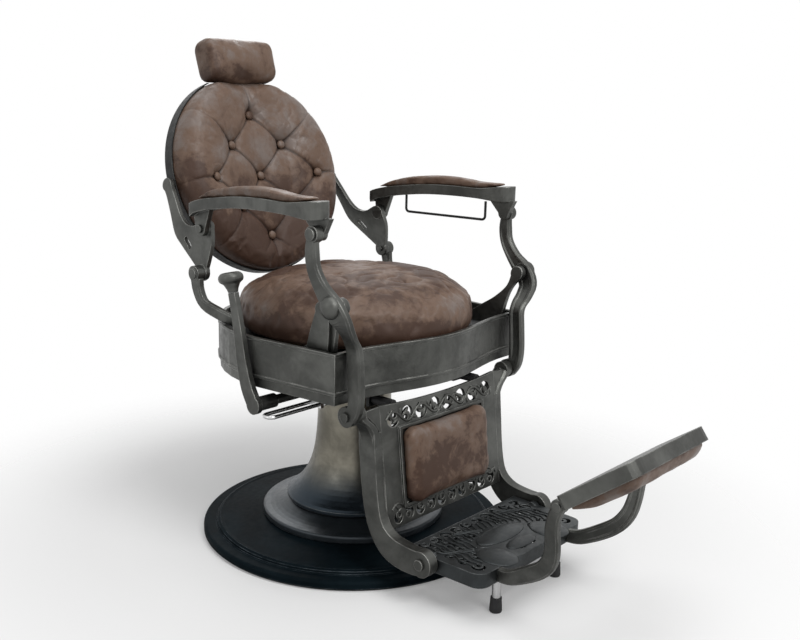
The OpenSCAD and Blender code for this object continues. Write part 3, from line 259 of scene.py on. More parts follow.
def hide_group():
    """Distressed leather: blotches, rubbed places and the height of its grain; parts with painted shade are
    darker and have more dark blotches, and parts with a painted highlight are paler.
    """
    tree, start, end = new_group(
        "hide", [("NodeSocketColor", "Main", (0.2, 0.1, 0.08, 1)),
                 ("NodeSocketColor", "Dark", (0.06, 0.03, 0.02, 1)),
                 ("NodeSocketColor", "Worn", (0.3, 0.22, 0.2, 1)),
                 ("NodeSocketFloat", "Blotches", HIDE_BLOTCHES)],
        [("NodeSocketColor", "Color"), ("NodeSocketFloat", "Roughness"), ("NodeSocketFloat", "Grain")])
    place = node(tree, "ShaderNodeTexCoord").outputs["Object"]
    # The mark read here is painted shade where it is above zero, adding dark blotches, and a painted
    # highlight where it is below zero, making the hide paler.
    age = node(tree, "ShaderNodeAttribute", attribute_name="age").outputs["Fac"]
    cloud = node(tree, "ShaderNodeTexNoise", Detail=6.0, Roughness=0.62, Distortion=0.5)
    link(tree, place, cloud.inputs["Vector"])
    link(tree, start.outputs["Blotches"], cloud.inputs["Scale"])
    fine = noise_at(tree, place, HIDE_FINE, 6.0, 0.66, 0.6)
    scuff = noise_at(tree, place, HIDE_SCUFFS, 6.0, 0.7, 1.2)
    level = maths(tree, "ADD", maths(tree, "ADD", cloud.outputs["Fac"], maths(tree, "MULTIPLY", age, 0.2)),
                  maths(tree, "MULTIPLY", maths(tree, "SUBTRACT", fine, 0.5), 0.42))
    pale = maths(tree, "MULTIPLY", ramp(tree, level, 0.54, 0.32), ramp(tree, scuff, 0.2, 0.5, 0.35, 1.0))
    colour = blend_colour(tree, pale, start.outputs["Main"], start.outputs["Worn"])
    colour = blend_colour(tree, ramp(tree, level, 0.53, 0.72, 0.0, 0.92), colour, start.outputs["Dark"])
    speck = ramp(tree, noise_at(tree, place, HIDE_SPECKS, 3.0), 0.6, 0.75, 0.0, 0.3)
    colour = blend_colour(tree, speck, colour, start.outputs["Dark"])
    link(tree, colour, end.inputs["Color"])
    link(tree, ramp(tree, level, 0.3, 0.7, 0.33, 0.56), end.inputs["Roughness"])
    cells = node(tree, "ShaderNodeTexVoronoi", feature="F1", Scale=HIDE_PORES, Randomness=1.0)
    link(tree, place, cells.inputs["Vector"])
    creases = noise_at(tree, place, HIDE_CREASES, 5.0, 0.65, 1.5)
    grain = maths(tree, "ADD", maths(tree, "MULTIPLY", cells.outputs["Distance"], 0.35),
                  maths(tree, "MULTIPLY", creases, 1.4))
    link(tree, grain, end.inputs["Grain"])
    return tree


def use_group(tree, group, **values):
    made = node(tree, "ShaderNodeGroup", node_tree=group)
    for key, value in values.items():
        made.inputs[key].default_value = value
    return made


def new_material(name):
    made = bpy.data.materials.new(name)
    made.use_nodes = True
    return made, made.node_tree, made.node_tree.nodes["Principled BSDF"]


def bump(tree, shader, height, distance, strength=0.5, rounded=None):
    """Gives a shader its surface relief, over rounded edges where they are given."""
    made = node(tree, "ShaderNodeBump", Distance=distance, Strength=strength)
    if rounded:
        link(tree, rounded, made.inputs["Normal"])
    link(tree, height, made.inputs["Height"])
    link(tree, made.outputs["Normal"], shader.inputs["Normal"])


def hide_material(name, group, settings, blotches=HIDE_BLOTCHES):
    """Leather with painted shade in its folds: it darkens where the mesh's fold attribute says it lies in a
    fold.
    """
    made, tree, shader = new_material(name)
    hide = use_group(tree, group, Main=tuple(settings.hide), Dark=tuple(settings.hide_dark),
                     Worn=tuple(settings.hide_worn), Blotches=blotches)
    # Painted shade: the hide is darkened towards a deep colour in the folds and around the buttons.
    fold = node(tree, "ShaderNodeAttribute", attribute_name="fold")
    shade = ramp(tree, fold.outputs["Fac"], 0.25, 0.95, 0.0, 0.8)
    deep = tuple(c * 0.35 for c in settings.hide_dark[:3]) + (1,)
    link(tree, blend_colour(tree, shade, hide.outputs["Color"], deep), shader.inputs["Base Color"])
    link(tree, hide.outputs["Roughness"], shader.inputs["Roughness"])
    shader.inputs["Specular IOR Level"].default_value = 0.36
    bump(tree, shader, hide.outputs["Grain"], 0.0006, 0.45)
    return made


def casting_material(name, group, base, worn, metallic=0.85, rough=(0.34, 0.52), hollow=0.75, edge=0.8,
                     grit=0.0005, specular=0.5, foot=None):
    """Cast or painted metal with worn edges and darkened hollows; foot gives a darker colour below a height,
    a painted reflection of the dark base.
    """
    made, tree, shader = new_material(name)
    place = node(tree, "ShaderNodeTexCoord").outputs["Object"]
    wear = use_group(tree, group)
    cloud = noise_at(tree, place, CAST_CLOUD, 5.0, 0.6, 0.3)
    deep = tuple(c * 0.55 for c in base[:3]) + (1,)
    colour = blend_colour(tree, ramp(tree, cloud, 0.35, 0.68), deep, tuple(base))
    # The foot's darker colour is a painted reflection of the dark base.
    if foot:
        low, high, paint = foot
        split = node(tree, "ShaderNodeSeparateXYZ")
        link(tree, place, split.inputs[0])
        colour = blend_colour(tree, ramp(tree, split.outputs["Z"], low, high), paint, colour)
    colour = blend_colour(tree, maths(tree, "MULTIPLY", wear.outputs["Edge"], edge), colour, tuple(worn))
    # Hollows, found by ambient occlusion, are darkened towards a deep colour.
    hollow_colour = tuple(c * 0.22 for c in base[:3]) + (1,)
    colour = blend_colour(tree, maths(tree, "MULTIPLY", wear.outputs["Hollow"], hollow), colour, hollow_colour)
    link(tree, colour, shader.inputs["Base Color"])
    shader.inputs["Metallic"].default_value = metallic
    shader.inputs["Specular IOR Level"].default_value = specular
    fine = noise_at(tree, place, CAST_FINE, 5.0, 0.6)
    link(tree, ramp(tree, fine, 0.3, 0.7, rough[0], rough[1]), shader.inputs["Roughness"])
    bump(tree, shader, noise_at(tree, place, CAST_GRIT, 4.0, 0.6), grit, 0.35, wear.outputs["Rounded"])
    return made


def rubber_material(name="black rubber"):
    made, tree, shader = new_material(name)
    place = node(tree, "ShaderNodeTexCoord").outputs["Object"]
    dust = ramp(tree, noise_at(tree, place, 60.0, 5.0), 0.4, 0.8)
    link(tree, blend_colour(tree, dust, (0.012, 0.012, 0.013, 1), (0.035, 0.034, 0.033, 1)),
         shader.inputs["Base Color"])
    link(tree, ramp(tree, dust, 0.0, 1.0, 0.62, 0.82), shader.inputs["Roughness"])
    bump(tree, shader, noise_at(tree, place, 400.0, 3.0), 0.0003, 0.4)
    return made


def steel_material(name, colour, rough):
    made, tree, shader = new_material(name)
    place = node(tree, "ShaderNodeTexCoord").outputs["Object"]
    smear = noise_at(tree, place, 45.0, 5.0, 0.6)
    dull = tuple(c * 0.72 for c in colour[:3]) + (1,)
    link(tree, blend_colour(tree, ramp(tree, smear, 0.4, 0.75), colour, dull), shader.inputs["Base Color"])
    shader.inputs["Metallic"].default_value = 1.0
    link(tree, ramp(tree, smear, 0.3, 0.8, rough, rough + 0.16), shader.inputs["Roughness"])
    bump(tree, shader, noise_at(tree, place, 500.0, 3.0), 0.0002, 0.2)
    return made


def timber_material():
    made, tree, shader = new_material("plywood")
    place = node(tree, "ShaderNodeTexCoord").outputs["Object"]
    mapping = node(tree, "ShaderNodeMapping", Scale=(6.0, 60.0, 400.0))
    link(tree, place, mapping.inputs["Vector"])
    grain = noise_at(tree, mapping.outputs["Vector"], 1.0, 6.0, 0.6)
    colour = blend_colour(tree, grain, (0.13, 0.075, 0.038, 1), (0.2, 0.125, 0.066, 1))
    link(tree, colour, shader.inputs["Base Color"])
    shader.inputs["Roughness"].default_value = 0.7
    bump(tree, shader, grain, 0.0004, 0.4)
    return made


MATERIAL = {}

CAD_FINISHES = {
    "base": ["base_disc"],
    "step": ["step_ring"],
    "column": ["column"],
    "rubber": ["floor_ring", "rod_seal", "piston_seal", "stop_bumpers", "leg_tips"],
    "bearing": ["guide_bush", "swivel_bush", "thrust_washer"],
    "bright": ["ram_rod", "brake_loop", "brake_spring", "support_legs", "pump_bolts"],
    "plywood": ["seat_board"],
    "dark": ["pump_cylinder", "gland_nut", "piston_head", "turret_hub", "seat_frame", "lever_bracket",
             "back_crossbar", "back_shell", "towel_rail"],
    "pewter": ["seat_skirt", "ear_right", "ear_left", "rear_bracket_right", "rear_bracket_left", "pump_lever",
               "lever_knob", "recline_lever", "back_yoke_right", "back_yoke_left", "headrest_guide",
               "headrest_post", "headrest_plate", "armrest_right", "armrest_left", "arm_post_right",
               "arm_post_left", "calf_frame", "foot_bolts", "hook_arm_right", "hook_arm_left", "flap_tray"],
    "plate": ["footplate"],
}


class CHAIR_OT_finishes(bpy.types.Operator):
    """Makes the materials and gives the frame's metal, rubber and timber nodes theirs"""
    bl_idname = "chair.finishes"
    bl_label = "Finishes"

    def execute(self, context):
        metal = context.scene.chair_metal
        upholstery = context.scene.chair_upholstery
        wear = edge_wear_group()
        hide = hide_group()
        MATERIAL.update({
            "hide": hide_material("distressed hide", hide, upholstery),
            "hide_small": hide_material("distressed hide, small pads", hide, upholstery, SMALL_PAD_BLOTCHES),
            "pewter": casting_material("antique pewter", wear, tuple(metal.pewter), tuple(metal.pewter_worn)),
            "column": casting_material("column sheen", wear, tuple(metal.column), (0.34, 0.33, 0.28, 1), 0.9,
                                       (0.3, 0.42), 0.5, 0.4, 0.0002, 0.5, COLUMN_FOOT_REFLECTION),
            "plate": casting_material("dark casting", wear, (0.05, 0.056, 0.058, 1), (0.2, 0.21, 0.21, 1),
                                      0.7, (0.36, 0.5), 0.7, 0.7, 0.0004),
            # The seat's dark sheet stands in for the shade under the cushion.
            "cloth": rubber_material("shade sheet"),
            # The base's pale edge colour is painted highlight along its rim and ridges, together with rubbed
            # wear.
            "base": casting_material("base paint", wear, tuple(metal.base), (0.19, 0.225, 0.25, 1), 0.0,
                                     (0.4, 0.5), 0.3, 1.0, 0.0002, 0.015),
            "step": casting_material("step paint", wear, (0.043, 0.053, 0.062, 1), (0.2, 0.21, 0.22, 1), 0.5,
                                     (0.3, 0.42), 0.3, 0.5, 0.0002),
            "dark": casting_material("dark frame", wear, (0.02, 0.021, 0.021, 1), (0.1, 0.1, 0.095, 1), 0.6,
                                     (0.42, 0.6)),
            "bright": steel_material("bright wire", (0.62, 0.62, 0.62, 1), 0.16),
            "bearing": steel_material("bearing metal", (0.5, 0.38, 0.18, 1), 0.3),
            "rubber": rubber_material(),
            "plywood": timber_material(),
        })
        for finish, names in CAD_FINISHES.items():
            for name in names:
                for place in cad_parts[name].material_slots:
                    place.material = MATERIAL[finish]
        return {"FINISHED"}


# ---- Shared mesh work ----------------------------------------------------------------------------

# Steps of the cloth's solver in a frame, and frames that a pad is given to swell
CLOTH_QUALITY = 4
CLOTH_FRAMES = 20


def new_object(name, mesh, material, smooth=True):
    made = bpy.data.objects.new(name, mesh)
    bpy.context.scene.collection.objects.link(made)
    mesh.materials.clear()
    mesh.materials.append(material)
    if smooth:
        mesh.shade_smooth()
    return made


def from_bmesh(name, bm, material, smooth=True):
    bmesh.ops.remove_doubles(bm, verts=bm.verts, dist=1e-5)
    bmesh.ops.recalc_face_normals(bm, faces=bm.faces)
    mesh = bpy.data.meshes.new(name)
    bm.to_mesh(mesh)
    bm.free()
    return new_object(name, mesh, material, smooth)


def coordinates(mesh):
    points = np.empty(len(mesh.vertices) * 3)
    mesh.vertices.foreach_get("co", points)
    return points.reshape(-1, 3)


def set_coordinates(mesh, points):
    mesh.vertices.foreach_set("co", np.ascontiguousarray(points, dtype=np.float64).ravel())
    mesh.update()


def apply_modifiers(obj):
    """Keeps the shape that an object's modifiers make and removes them."""
    graph = bpy.context.evaluated_depsgraph_get()
    mesh = bpy.data.meshes.new_from_object(obj.evaluated_get(graph))
    old = obj.data
    obj.modifiers.clear()
    obj.data = mesh
    bpy.data.meshes.remove(old)


def stuffing(name, cad_node, voxel):
    """Copy of a plain CAD pad as one closed, evenly meshed skin."""
    bm = bmesh.new()
    bm.from_mesh(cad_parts[cad_node].data)
    made = from_bmesh(name, bm, MATERIAL["hide"])
    remesh = made.modifiers.new("skin", "REMESH")
    remesh.mode = "VOXEL"
    remesh.voxel_size = voxel
    apply_modifiers(made)
    return made


def push(obj, distance):
    """Moves a skin along its normals, by one distance or by one for each vertex."""
    bm = bmesh.new()
    bm.from_mesh(obj.data)
    bm.normal_update()
    for vert, rise in zip(bm.verts, np.broadcast_to(distance, len(bm.verts))):
        vert.co += vert.normal * float(rise)
    bm.to_mesh(obj.data)
    bm.free()


def relax(obj, rounds):
    """Rounds a skin off."""
    bm = bmesh.new()
    bm.from_mesh(obj.data)
    for _ in range(rounds):
        bmesh.ops.smooth_vert(bm, verts=bm.verts, factor=0.5, use_axis_x=True, use_axis_y=True,
                              use_axis_z=True)
    bm.to_mesh(obj.data)
    bm.free()


def swell(obj, pressure, cap, held=None):
    """Cloth under pressure; held marks the vertices that stay where they are."""
    scene = bpy.context.scene
    rest = coordinates(obj.data)
    cloth = obj.modifiers.new("swell", "CLOTH")
    cloth.settings.use_pressure = True
    cloth.settings.uniform_pressure_force = pressure
    cloth.settings.quality = CLOTH_QUALITY
    cloth.settings.effector_weights.gravity = 0
    cloth.collision_settings.use_collision = False
    if held is not None:
        group = obj.vertex_groups.new(name="held")
        group.add([int(i) for i in np.nonzero(held(rest))[0]], 1.0, "REPLACE")
        cloth.settings.vertex_group_mass = "held"
    for step in range(1, CLOTH_FRAMES + 1):
        scene.frame_set(step)
    graph = bpy.context.evaluated_depsgraph_get()
    mesh = obj.evaluated_get(graph).to_mesh()
    moved = coordinates(mesh) - rest
    obj.evaluated_get(graph).to_mesh_clear()
    obj.modifiers.remove(cloth)
    obj.vertex_groups.clear()
    length = np.linalg.norm(moved, axis=1)
    moved *= np.minimum(1.0, cap / np.maximum(length, 1e-9))[:, None]
    set_coordinates(obj.data, rest + moved)
    scene.frame_set(1)


def subdivide(obj):
    made = obj.modifiers.new("smooth", "SUBSURF")
    made.levels = made.render_levels = 1
    apply_modifiers(obj)


def finish_pad(obj, body, replaced, material="hide"):
    """Gives a pad its leather, attaches it to its body of the frame, and hides the CAD pad it replaces."""
    obj.data.materials.clear()
    obj.data.materials.append(MATERIAL[material])
    obj.data.shade_smooth()
    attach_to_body(obj, body)
    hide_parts(replaced)


def mark(obj, name, values):
    """Stores a value of each vertex for the hide's shading: how deep in a fold it lies, or how much painted
    shade or painted highlight it gets.
    """
    store = obj.data.attributes.new(name, "FLOAT", "POINT")
    store.data.foreach_set("value", np.ascontiguousarray(values, dtype=np.float32))


def refine(obj, chosen):
    """Halves the edges between chosen vertices."""
    bm = bmesh.new()
    bm.from_mesh(obj.data)
    bm.verts.ensure_lookup_table()
    edges = [edge for edge in bm.edges if chosen[edge.verts[0].index] and chosen[edge.verts[1].index]]
    bmesh.ops.subdivide_edges(bm, edges=edges, cuts=1, use_grid_fill=True, smooth=0.0)
    bmesh.ops.triangulate(bm, faces=[face for face in bm.faces if len(face.verts) > 4])
    bm.to_mesh(obj.data)
    bm.free()


def field(points, scale, seed):
    """Smooth noise over points, between about -1 and 1."""
    offset = Vector((seed * 17.3, seed * 5.1, seed * 9.7))
    return np.array([noise.noise(Vector(p) * scale + offset) for p in points])


def segment_distance(px, py, a, b):
    """Distance of points from the line between a and b, and how far along it they lie."""
    ax, ay = a
    bx, by = b
    length = (bx - ax) ** 2 + (by - ay) ** 2
    t = np.clip(((px - ax) * (bx - ax) + (py - ay) * (by - ay)) / length, 0, 1)
    return np.hypot(px - ax - t * (bx - ax), py - ay - t * (by - ay)), t


# ---- Round back ----------------------------------------------------------------------------------

def to_back(points):
    """World points as across, up the back, and towards the sitter."""
    d = points - np.array(BACK_CENTRE)
    s, c = math.sin(BACK_TILT), math.cos(BACK_TILT)
    return d[:, 0], d[:, 1] * s + d[:, 2] * c, -d[:, 1] * c + d[:, 2] * s


def from_back(u, v, w):
    """World points of places on the back; the reverse of to_back."""
    s, c = math.sin(BACK_TILT), math.cos(BACK_TILT)
    return np.stack([u, v * s - w * c, v * c + w * s], axis=1) + np.array(BACK_CENTRE)


def dish(u):
    """Front of the back across its hollow."""
    return DISH_AXIS - np.sqrt(DISH_RADIUS ** 2 - np.minimum(np.abs(u), 0.3) ** 2)


def groove(r, tight, wide):
    """Depth of a pulled line at a distance: a sharp crease in a soft hollow."""
    return 0.62 * np.exp(-(r / tight) ** 2) + 0.38 * np.exp(-(r / wide) ** 2)


# Widths of the sharp crease and of the soft hollow at a button and along a sewn fold, in metres
BUTTON_PULL = (0.013, 0.03)
FOLD_WIDTH = (0.0032, 0.011)


def tuft(u, v):
    """Depth of the pull of the buttons, and the sewn folds between them, over the front of the back."""
    pull = np.zeros(len(v))
    for place in BUTTONS:
        pull += groove(np.hypot(u - place[0], v - place[1]), *BUTTON_PULL)
    fold = np.zeros(len(v))
    for a, b in FOLDS:
        r, t = segment_distance(u, v, BUTTONS[a], BUTTONS[b])
        fold = np.maximum(fold, (0.7 + 0.3 * np.abs(2 * t - 1)) * groove(r, *FOLD_WIDTH))
    for path in RIM_FOLDS:
        corners = [BUTTONS[path[0]]] + list(path[1:])
        for i, (a, b) in enumerate(zip(corners, corners[1:])):
            r, t = segment_distance(u, v, a, b)
            reach = 1.0 - 0.75 * (i + t) / (len(corners) - 1)
            fold = np.maximum(fold, reach * groove(r, *FOLD_WIDTH))
    return pull, fold


# The back's skin, how far it swells, how far around its rear and its buttons it is held, and its
# small wrinkles and waves, in metres, with their scales per metre
BACK_SKIN = 0.006
BACK_SWELL = 0.007
BACK_HELD = 0.02
BUTTON_HELD = 0.012
BACK_WRINKLES = (0.0009, 34.0)
BACK_WAVES = (0.001, 24.0)


class CHAIR_OT_back(bpy.types.Operator):
    """Makes the round back with its rolled rim, diamond tufting and buttons"""
    bl_idname = "chair.back"
    bl_label = "Round back"

    def execute(self, context):
        settings = context.scene.chair_upholstery
        pad = stuffing("back_pad", "back_cushion", BACK_SKIN)
        relax(pad, 5)

        def held(points):
            u, v, w = to_back(points)
            return (w < BACK_REAR + BACK_HELD) | (self.button_gap(u, v) < BUTTON_HELD)

        swell(pad, 4.0, BACK_SWELL, held)
        subdivide(pad)
        u, v, w = to_back(coordinates(pad.data))
        pull, fold = tuft(u, v)
        refine(pad, (w > 0) & ((fold > 0.12) | (pull > 0.12)))
        u, v, w = to_back(coordinates(pad.data))
        front = np.clip((w + 0.03) / 0.03, 0, 1) ** 2
        pull, fold = tuft(u, v)
        ring = np.maximum(np.hypot(u, v), 1e-6)
        out = np.clip((ring - ROLL_START) / ROLL, 0, 1)
        depth, scale = BACK_WRINKLES
        wrinkle = (1 - np.abs(field(np.stack([u, v, w * 0.4], axis=1), scale, 5))) ** 7
        sink = settings.button_depth * pull + settings.fold_depth * fold + depth * wrinkle
        depth, scale = BACK_WAVES
        sink -= depth * field(np.stack([u, v, w], axis=1), scale, 1)
        sink *= front
        u -= sink * out * u / ring
        v -= sink * out * v / ring
        w -= sink * np.sqrt(1 - out ** 2)
        set_coordinates(pad.data, from_back(u, v, w))
        # The fold mark, which the hide darkens as painted shade, also takes in the hollow around each button.
        around_buttons = 0.9 * groove(self.button_gap(u, v), BUTTON_HELD, BUTTON_HELD)
        mark(pad, "fold", front * np.clip(fold + around_buttons, 0, 1))
        # Marks for the hide's shading: painted shade darkens the lower back, the lower left gets more dark
        # blotches, and the crown takes the darkening off, a painted highlight on the upper back.
        bottom = 1.45 * np.clip((0.03 - v) / 0.2, 0, 1)
        side = 0.7 * np.clip((-u - 0.12) / 0.1, 0, 1) * np.clip((0.1 - v) / 0.1, 0, 1)
        crown = 0.35 * np.clip(v / 0.15, 0, 1)
        mark(pad, "age", np.clip(bottom + side, 0, 1.45) - crown)
        finish_pad(pad, "back", "back_cushion")
        self.buttons(settings)
        return {"FINISHED"}

    def button_gap(self, u, v):
        """Distance from the nearest button."""
        return np.min([np.hypot(u - place[0], v - place[1]) for place in BUTTONS], axis=0)

    def buttons(self, settings):
        bm = bmesh.new()
        r = settings.button_radius
        for u, v in BUTTONS:
            slope = u / math.sqrt(DISH_RADIUS ** 2 - u ** 2)
            surface = float(dish(np.array([u]))[0]) - settings.button_depth * 0.6
            ends = from_back(np.array([u, u - 0.01 * slope]), np.array([v, v]),
                             np.array([surface, surface + 0.01]))
            origin, out = Vector(ends[0]), Vector(ends[1] - ends[0]).normalized()
            turn = out.to_track_quat("Z", "Y").to_matrix().to_4x4()
            made = bmesh.ops.create_uvsphere(bm, u_segments=20, v_segments=12, radius=r)
            bmesh.ops.scale(bm, verts=made["verts"], vec=(1, 1, 0.62))
            bmesh.ops.transform(bm, verts=made["verts"], matrix=Matrix.Translation(origin) @ turn)
        made = from_bmesh("back_buttons", bm, MATERIAL["hide_small"])
        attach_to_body(made, "back")


# ---- Seat ----------------------------------------------------------------------------------------

# Places where the seat's hide is pulled down, and the depth and width of each pull, in metres
SEAT_TUFTS = [(-0.075, -0.01), (0.075, -0.07), (-0.01, 0.12), (0.12, 0.09), (-0.13, 0.1), (0.0, -0.15)]
TUFT_PULLS = [(0.006, 0.007), (0.005, 0.028)]

# The seat's skin, its swelling, the droop of its edge and the rise of its crown, in metres
SEAT_SKIN = 0.006
SEAT_SWELL = 0.008
SEAT_HELD = 0.006
EDGE_START, EDGE_WIDTH, EDGE_DROOP = 0.19, 0.076, 0.016
CROWN_RADIUS, CROWN_RISE = 0.25, 0.011

# Depth in metres and scale per metre of the seat's wrinkles, bulges and side waves
SEAT_WRINKLES = (0.0035, 22.0)
SEAT_BULGES = (0.0022, 9.0)
SIDE_WAVES = (0.0016, 24.0)


class CHAIR_OT_seat(bpy.types.Operator):
    """Makes the round seat cushion"""
    bl_idname = "chair.seat"
    bl_label = "Seat cushion"

    def execute(self, context):
        low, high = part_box("seat_cushion")
        tall = high[2] - low[2]
        pad = stuffing("seat_pad", "seat_cushion", SEAT_SKIN)
        self.crown(pad, low[2], tall)
        relax(pad, 6)
        swell(pad, 3.0, SEAT_SWELL, lambda p: p[:, 2] < low[2] + SEAT_HELD)
        subdivide(pad)
        self.wrinkle(pad, low[2], tall)
        finish_pad(pad, "seat", "seat_cushion")
        return {"FINISHED"}

    def crown(self, pad, foot, tall):
        """Domes the top, lets the upper edge droop, and draws the side in at its foot and top."""
        points = coordinates(pad.data)
        t = (points[:, 2] - foot) / tall
        ring = np.hypot(points[:, 0], points[:, 1])
        upper = np.clip((t - 0.45) / 0.5, 0, 1)
        edge = np.clip((ring - EDGE_START) / EDGE_WIDTH, 0, 1)
        points[:, 2] -= EDGE_DROOP * edge ** 2 * upper
        points[:, 2] += CROWN_RISE * np.clip(1 - (ring / CROWN_RADIUS) ** 2, 0, 1) * upper
        waist = 1 - 0.028 * np.clip((0.28 - t) / 0.28, 0, 1) ** 1.5
        waist -= 0.02 * np.clip((t - 0.55) / 0.45, 0, 1) ** 2
        points[:, 0] *= waist
        points[:, 1] *= waist
        set_coordinates(pad.data, points)

    def wrinkle(self, pad, foot, tall):
        """Adds the pulled places, wrinkles and waves, and marks the hide's painted shade on its lower wall
        and its top.
        """
        points = coordinates(pad.data)
        t = np.clip((points[:, 2] - foot) / tall, 0, 1)
        top = np.clip((t - 0.6) / 0.3, 0, 1)
        for x, y in SEAT_TUFTS:
            r = np.hypot(points[:, 0] - x, points[:, 1] - y)
            points[:, 2] -= top * sum(depth * np.exp(-(r / width) ** 2) for depth, width in TUFT_PULLS)
        depth, scale = SEAT_WRINKLES
        points[:, 2] -= top * depth * (1 - np.abs(field(points, scale, 4))) ** 6
        depth, scale = SEAT_BULGES
        points[:, 2] += top * depth * field(points, scale, 2)
        ring = np.maximum(np.hypot(points[:, 0], points[:, 1]), 1e-6)
        depth, scale = SIDE_WAVES
        out = np.clip(1 - top, 0, 1) * np.clip(t / 0.2, 0, 1) * depth * field(points, scale, 3)
        points[:, 0] += out * points[:, 0] / ring
        points[:, 1] += out * points[:, 1] / ring
        set_coordinates(pad.data, points)
        # Painted shade: the lower wall is darkened, and the top away from the middle is darkened too, toning
        # down the overhead light there.
        wall = 1.5 * np.clip((0.7 - t) / 0.4, 0, 1)
        worn = 0.8 * top * np.clip((ring - 0.03) / 0.1, 0, 1)
        mark(pad, "age", wall + worn - 0.1)


# ---- Smaller pads --------------------------------------------------------------------------------

Pad = namedtuple("Pad", "name cad_node body voxel inset cap rounds aged")

# Skin step, inset before swelling, and largest swelling in metres; rounds of smoothing; how strongly painted
# shade darkens the pad towards its bottom
PADS = [
    Pad("headrest_cover", "headrest_pad", "headrest", 0.005, 0.003, 0.006, 4, 0.45),
    Pad("calf_cover", "calf_pad", "leg_frame", 0.005, -0.0045, 0.006, 3, 1.2),
    Pad("flap_cover", "flap_pad", "flap", 0.006, 0.0035, 0.003, 5, 0.6),
    Pad("arm_cover_right", "armrest_pad_right", "armrest_right", 0.004, 0.001, 0.002, 2, 0.5),
    Pad("arm_cover_left", "armrest_pad_left", "armrest_left", 0.004, 0.001, 0.002, 2, 0.5),
]
PAD_RIPPLES = (0.0009, 30.0)


class CHAIR_OT_pads(bpy.types.Operator):
    """Makes the headrest, calf, flap and armrest pads"""
    bl_idname = "chair.pads"
    bl_label = "Small pads"

    def execute(self, context):
        for row in PADS:
            pad = stuffing(row.name, row.cad_node, row.voxel)
            relax(pad, row.rounds)
            push(pad, -row.inset)
            swell(pad, 4.0, row.cap)
            subdivide(pad)
            points = coordinates(pad.data)
            depth, scale = PAD_RIPPLES
            push(pad, field(points, scale, 6) * depth)
            # Painted shade: each pad is darkened towards its bottom.
            height = (points[:, 2] - points[:, 2].min()) / np.ptp(points[:, 2])
            mark(pad, "age", row.aged * (1 - height))
            finish_pad(pad, row.body, row.cad_node, "hide_small")
        return {"FINISHED"}


# ---- Cast relief and trim ------------------------------------------------------------------------

# Front of the calf frame; its two bands of openwork: height, length, count, radius and leaf length
CALF_PLANE = Matrix.Translation((0, -0.254, 0.388)) @ Matrix.Rotation(math.radians(-7), 4, "X")
CALF_BANDS = [(-0.034, 0.352, 8, 0.018, 0.031), (-0.222, 0.35, 10, 0.013, 0.024)]
LEAF_TURNS = (55, -38, 18, 74, -62, 33, -15, 66, -48, 25)
STEM_RADIUS = 0.0032
STEM_STEPS = 48

# Top of the footplate and its smooth ovals: place, half width and half depth
PLATE_TOP = 0.107
SOLES = [(0.0, -0.429, 0.076, 0.029), (-0.092, -0.488, 0.036, 0.046), (0.092, -0.488, 0.036, 0.046),
         (0.0, -0.4815, 0.046, 0.0195)]
SOLE_HEIGHT = 0.0036

# The footplate's fine ribs: count, radius, steps, spread, rear end, lengths in the middle and at the
# sides, room around the ovals, and the half width and front of the part without ribs between them
RIBS = 27
RIB_RADIUS = 0.0021
RIB_STEPS = 32
RIB_SPREAD = 0.31
RIB_REAR = -0.362
RIB_LONG, RIB_SHORT, RIB_MIDDLE = 0.138, 0.12, 0.13
RIB_ROOM = 0.004
BARE_HALF, BARE_FRONT = 0.128, -0.452

# The elbow caps' place, mirrored, and their radii
ELBOW = (0.318, -0.2415, 0.604)
ELBOW_RADII = (0.019, 0.0225, 0.0235)

# The shade sheet's radius, thickness, centre, and where its front is cut straight
COVER_RADIUS = 0.3125
COVER_THICKNESS = 0.0015
COVER_CENTRE = (0, -0.02, 0.476)
COVER_FRONT = -0.226


def lens(bm, place, radii, turn=0.0, axis="Z"):
    """Adds a flattened ball to a bmesh."""
    made = bmesh.ops.create_uvsphere(bm, u_segments=18, v_segments=10, radius=1.0)
    turned = Matrix.Translation(place) @ Matrix.Rotation(math.radians(turn), 4, axis)
    bmesh.ops.transform(bm, verts=made["verts"], matrix=turned @ Matrix.Diagonal((*radii, 1)))
    return made["verts"]


def rods(name, paths, radius, material):
    """Thin round bars along paths of points."""
    data = bpy.data.curves.new(name, "CURVE")
    data.dimensions = "3D"
    data.bevel_depth = radius
    data.bevel_resolution = 1
    data.use_fill_caps = True
    for path in paths:
        spline = data.splines.new("POLY")
        spline.points.add(len(path) - 1)
        for point, place in zip(spline.points, path):
            point.co = (*place, 1)
    held = bpy.data.objects.new(name, data)
    mesh = bpy.data.meshes.new_from_object(held)
    bpy.data.objects.remove(held)
    bpy.data.curves.remove(data)
    mesh.name = name
    return new_object(name, mesh, material)


def attach(obj, body):
    """Lets a piece of trim ride on a body of the frame."""
    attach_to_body(obj, body)


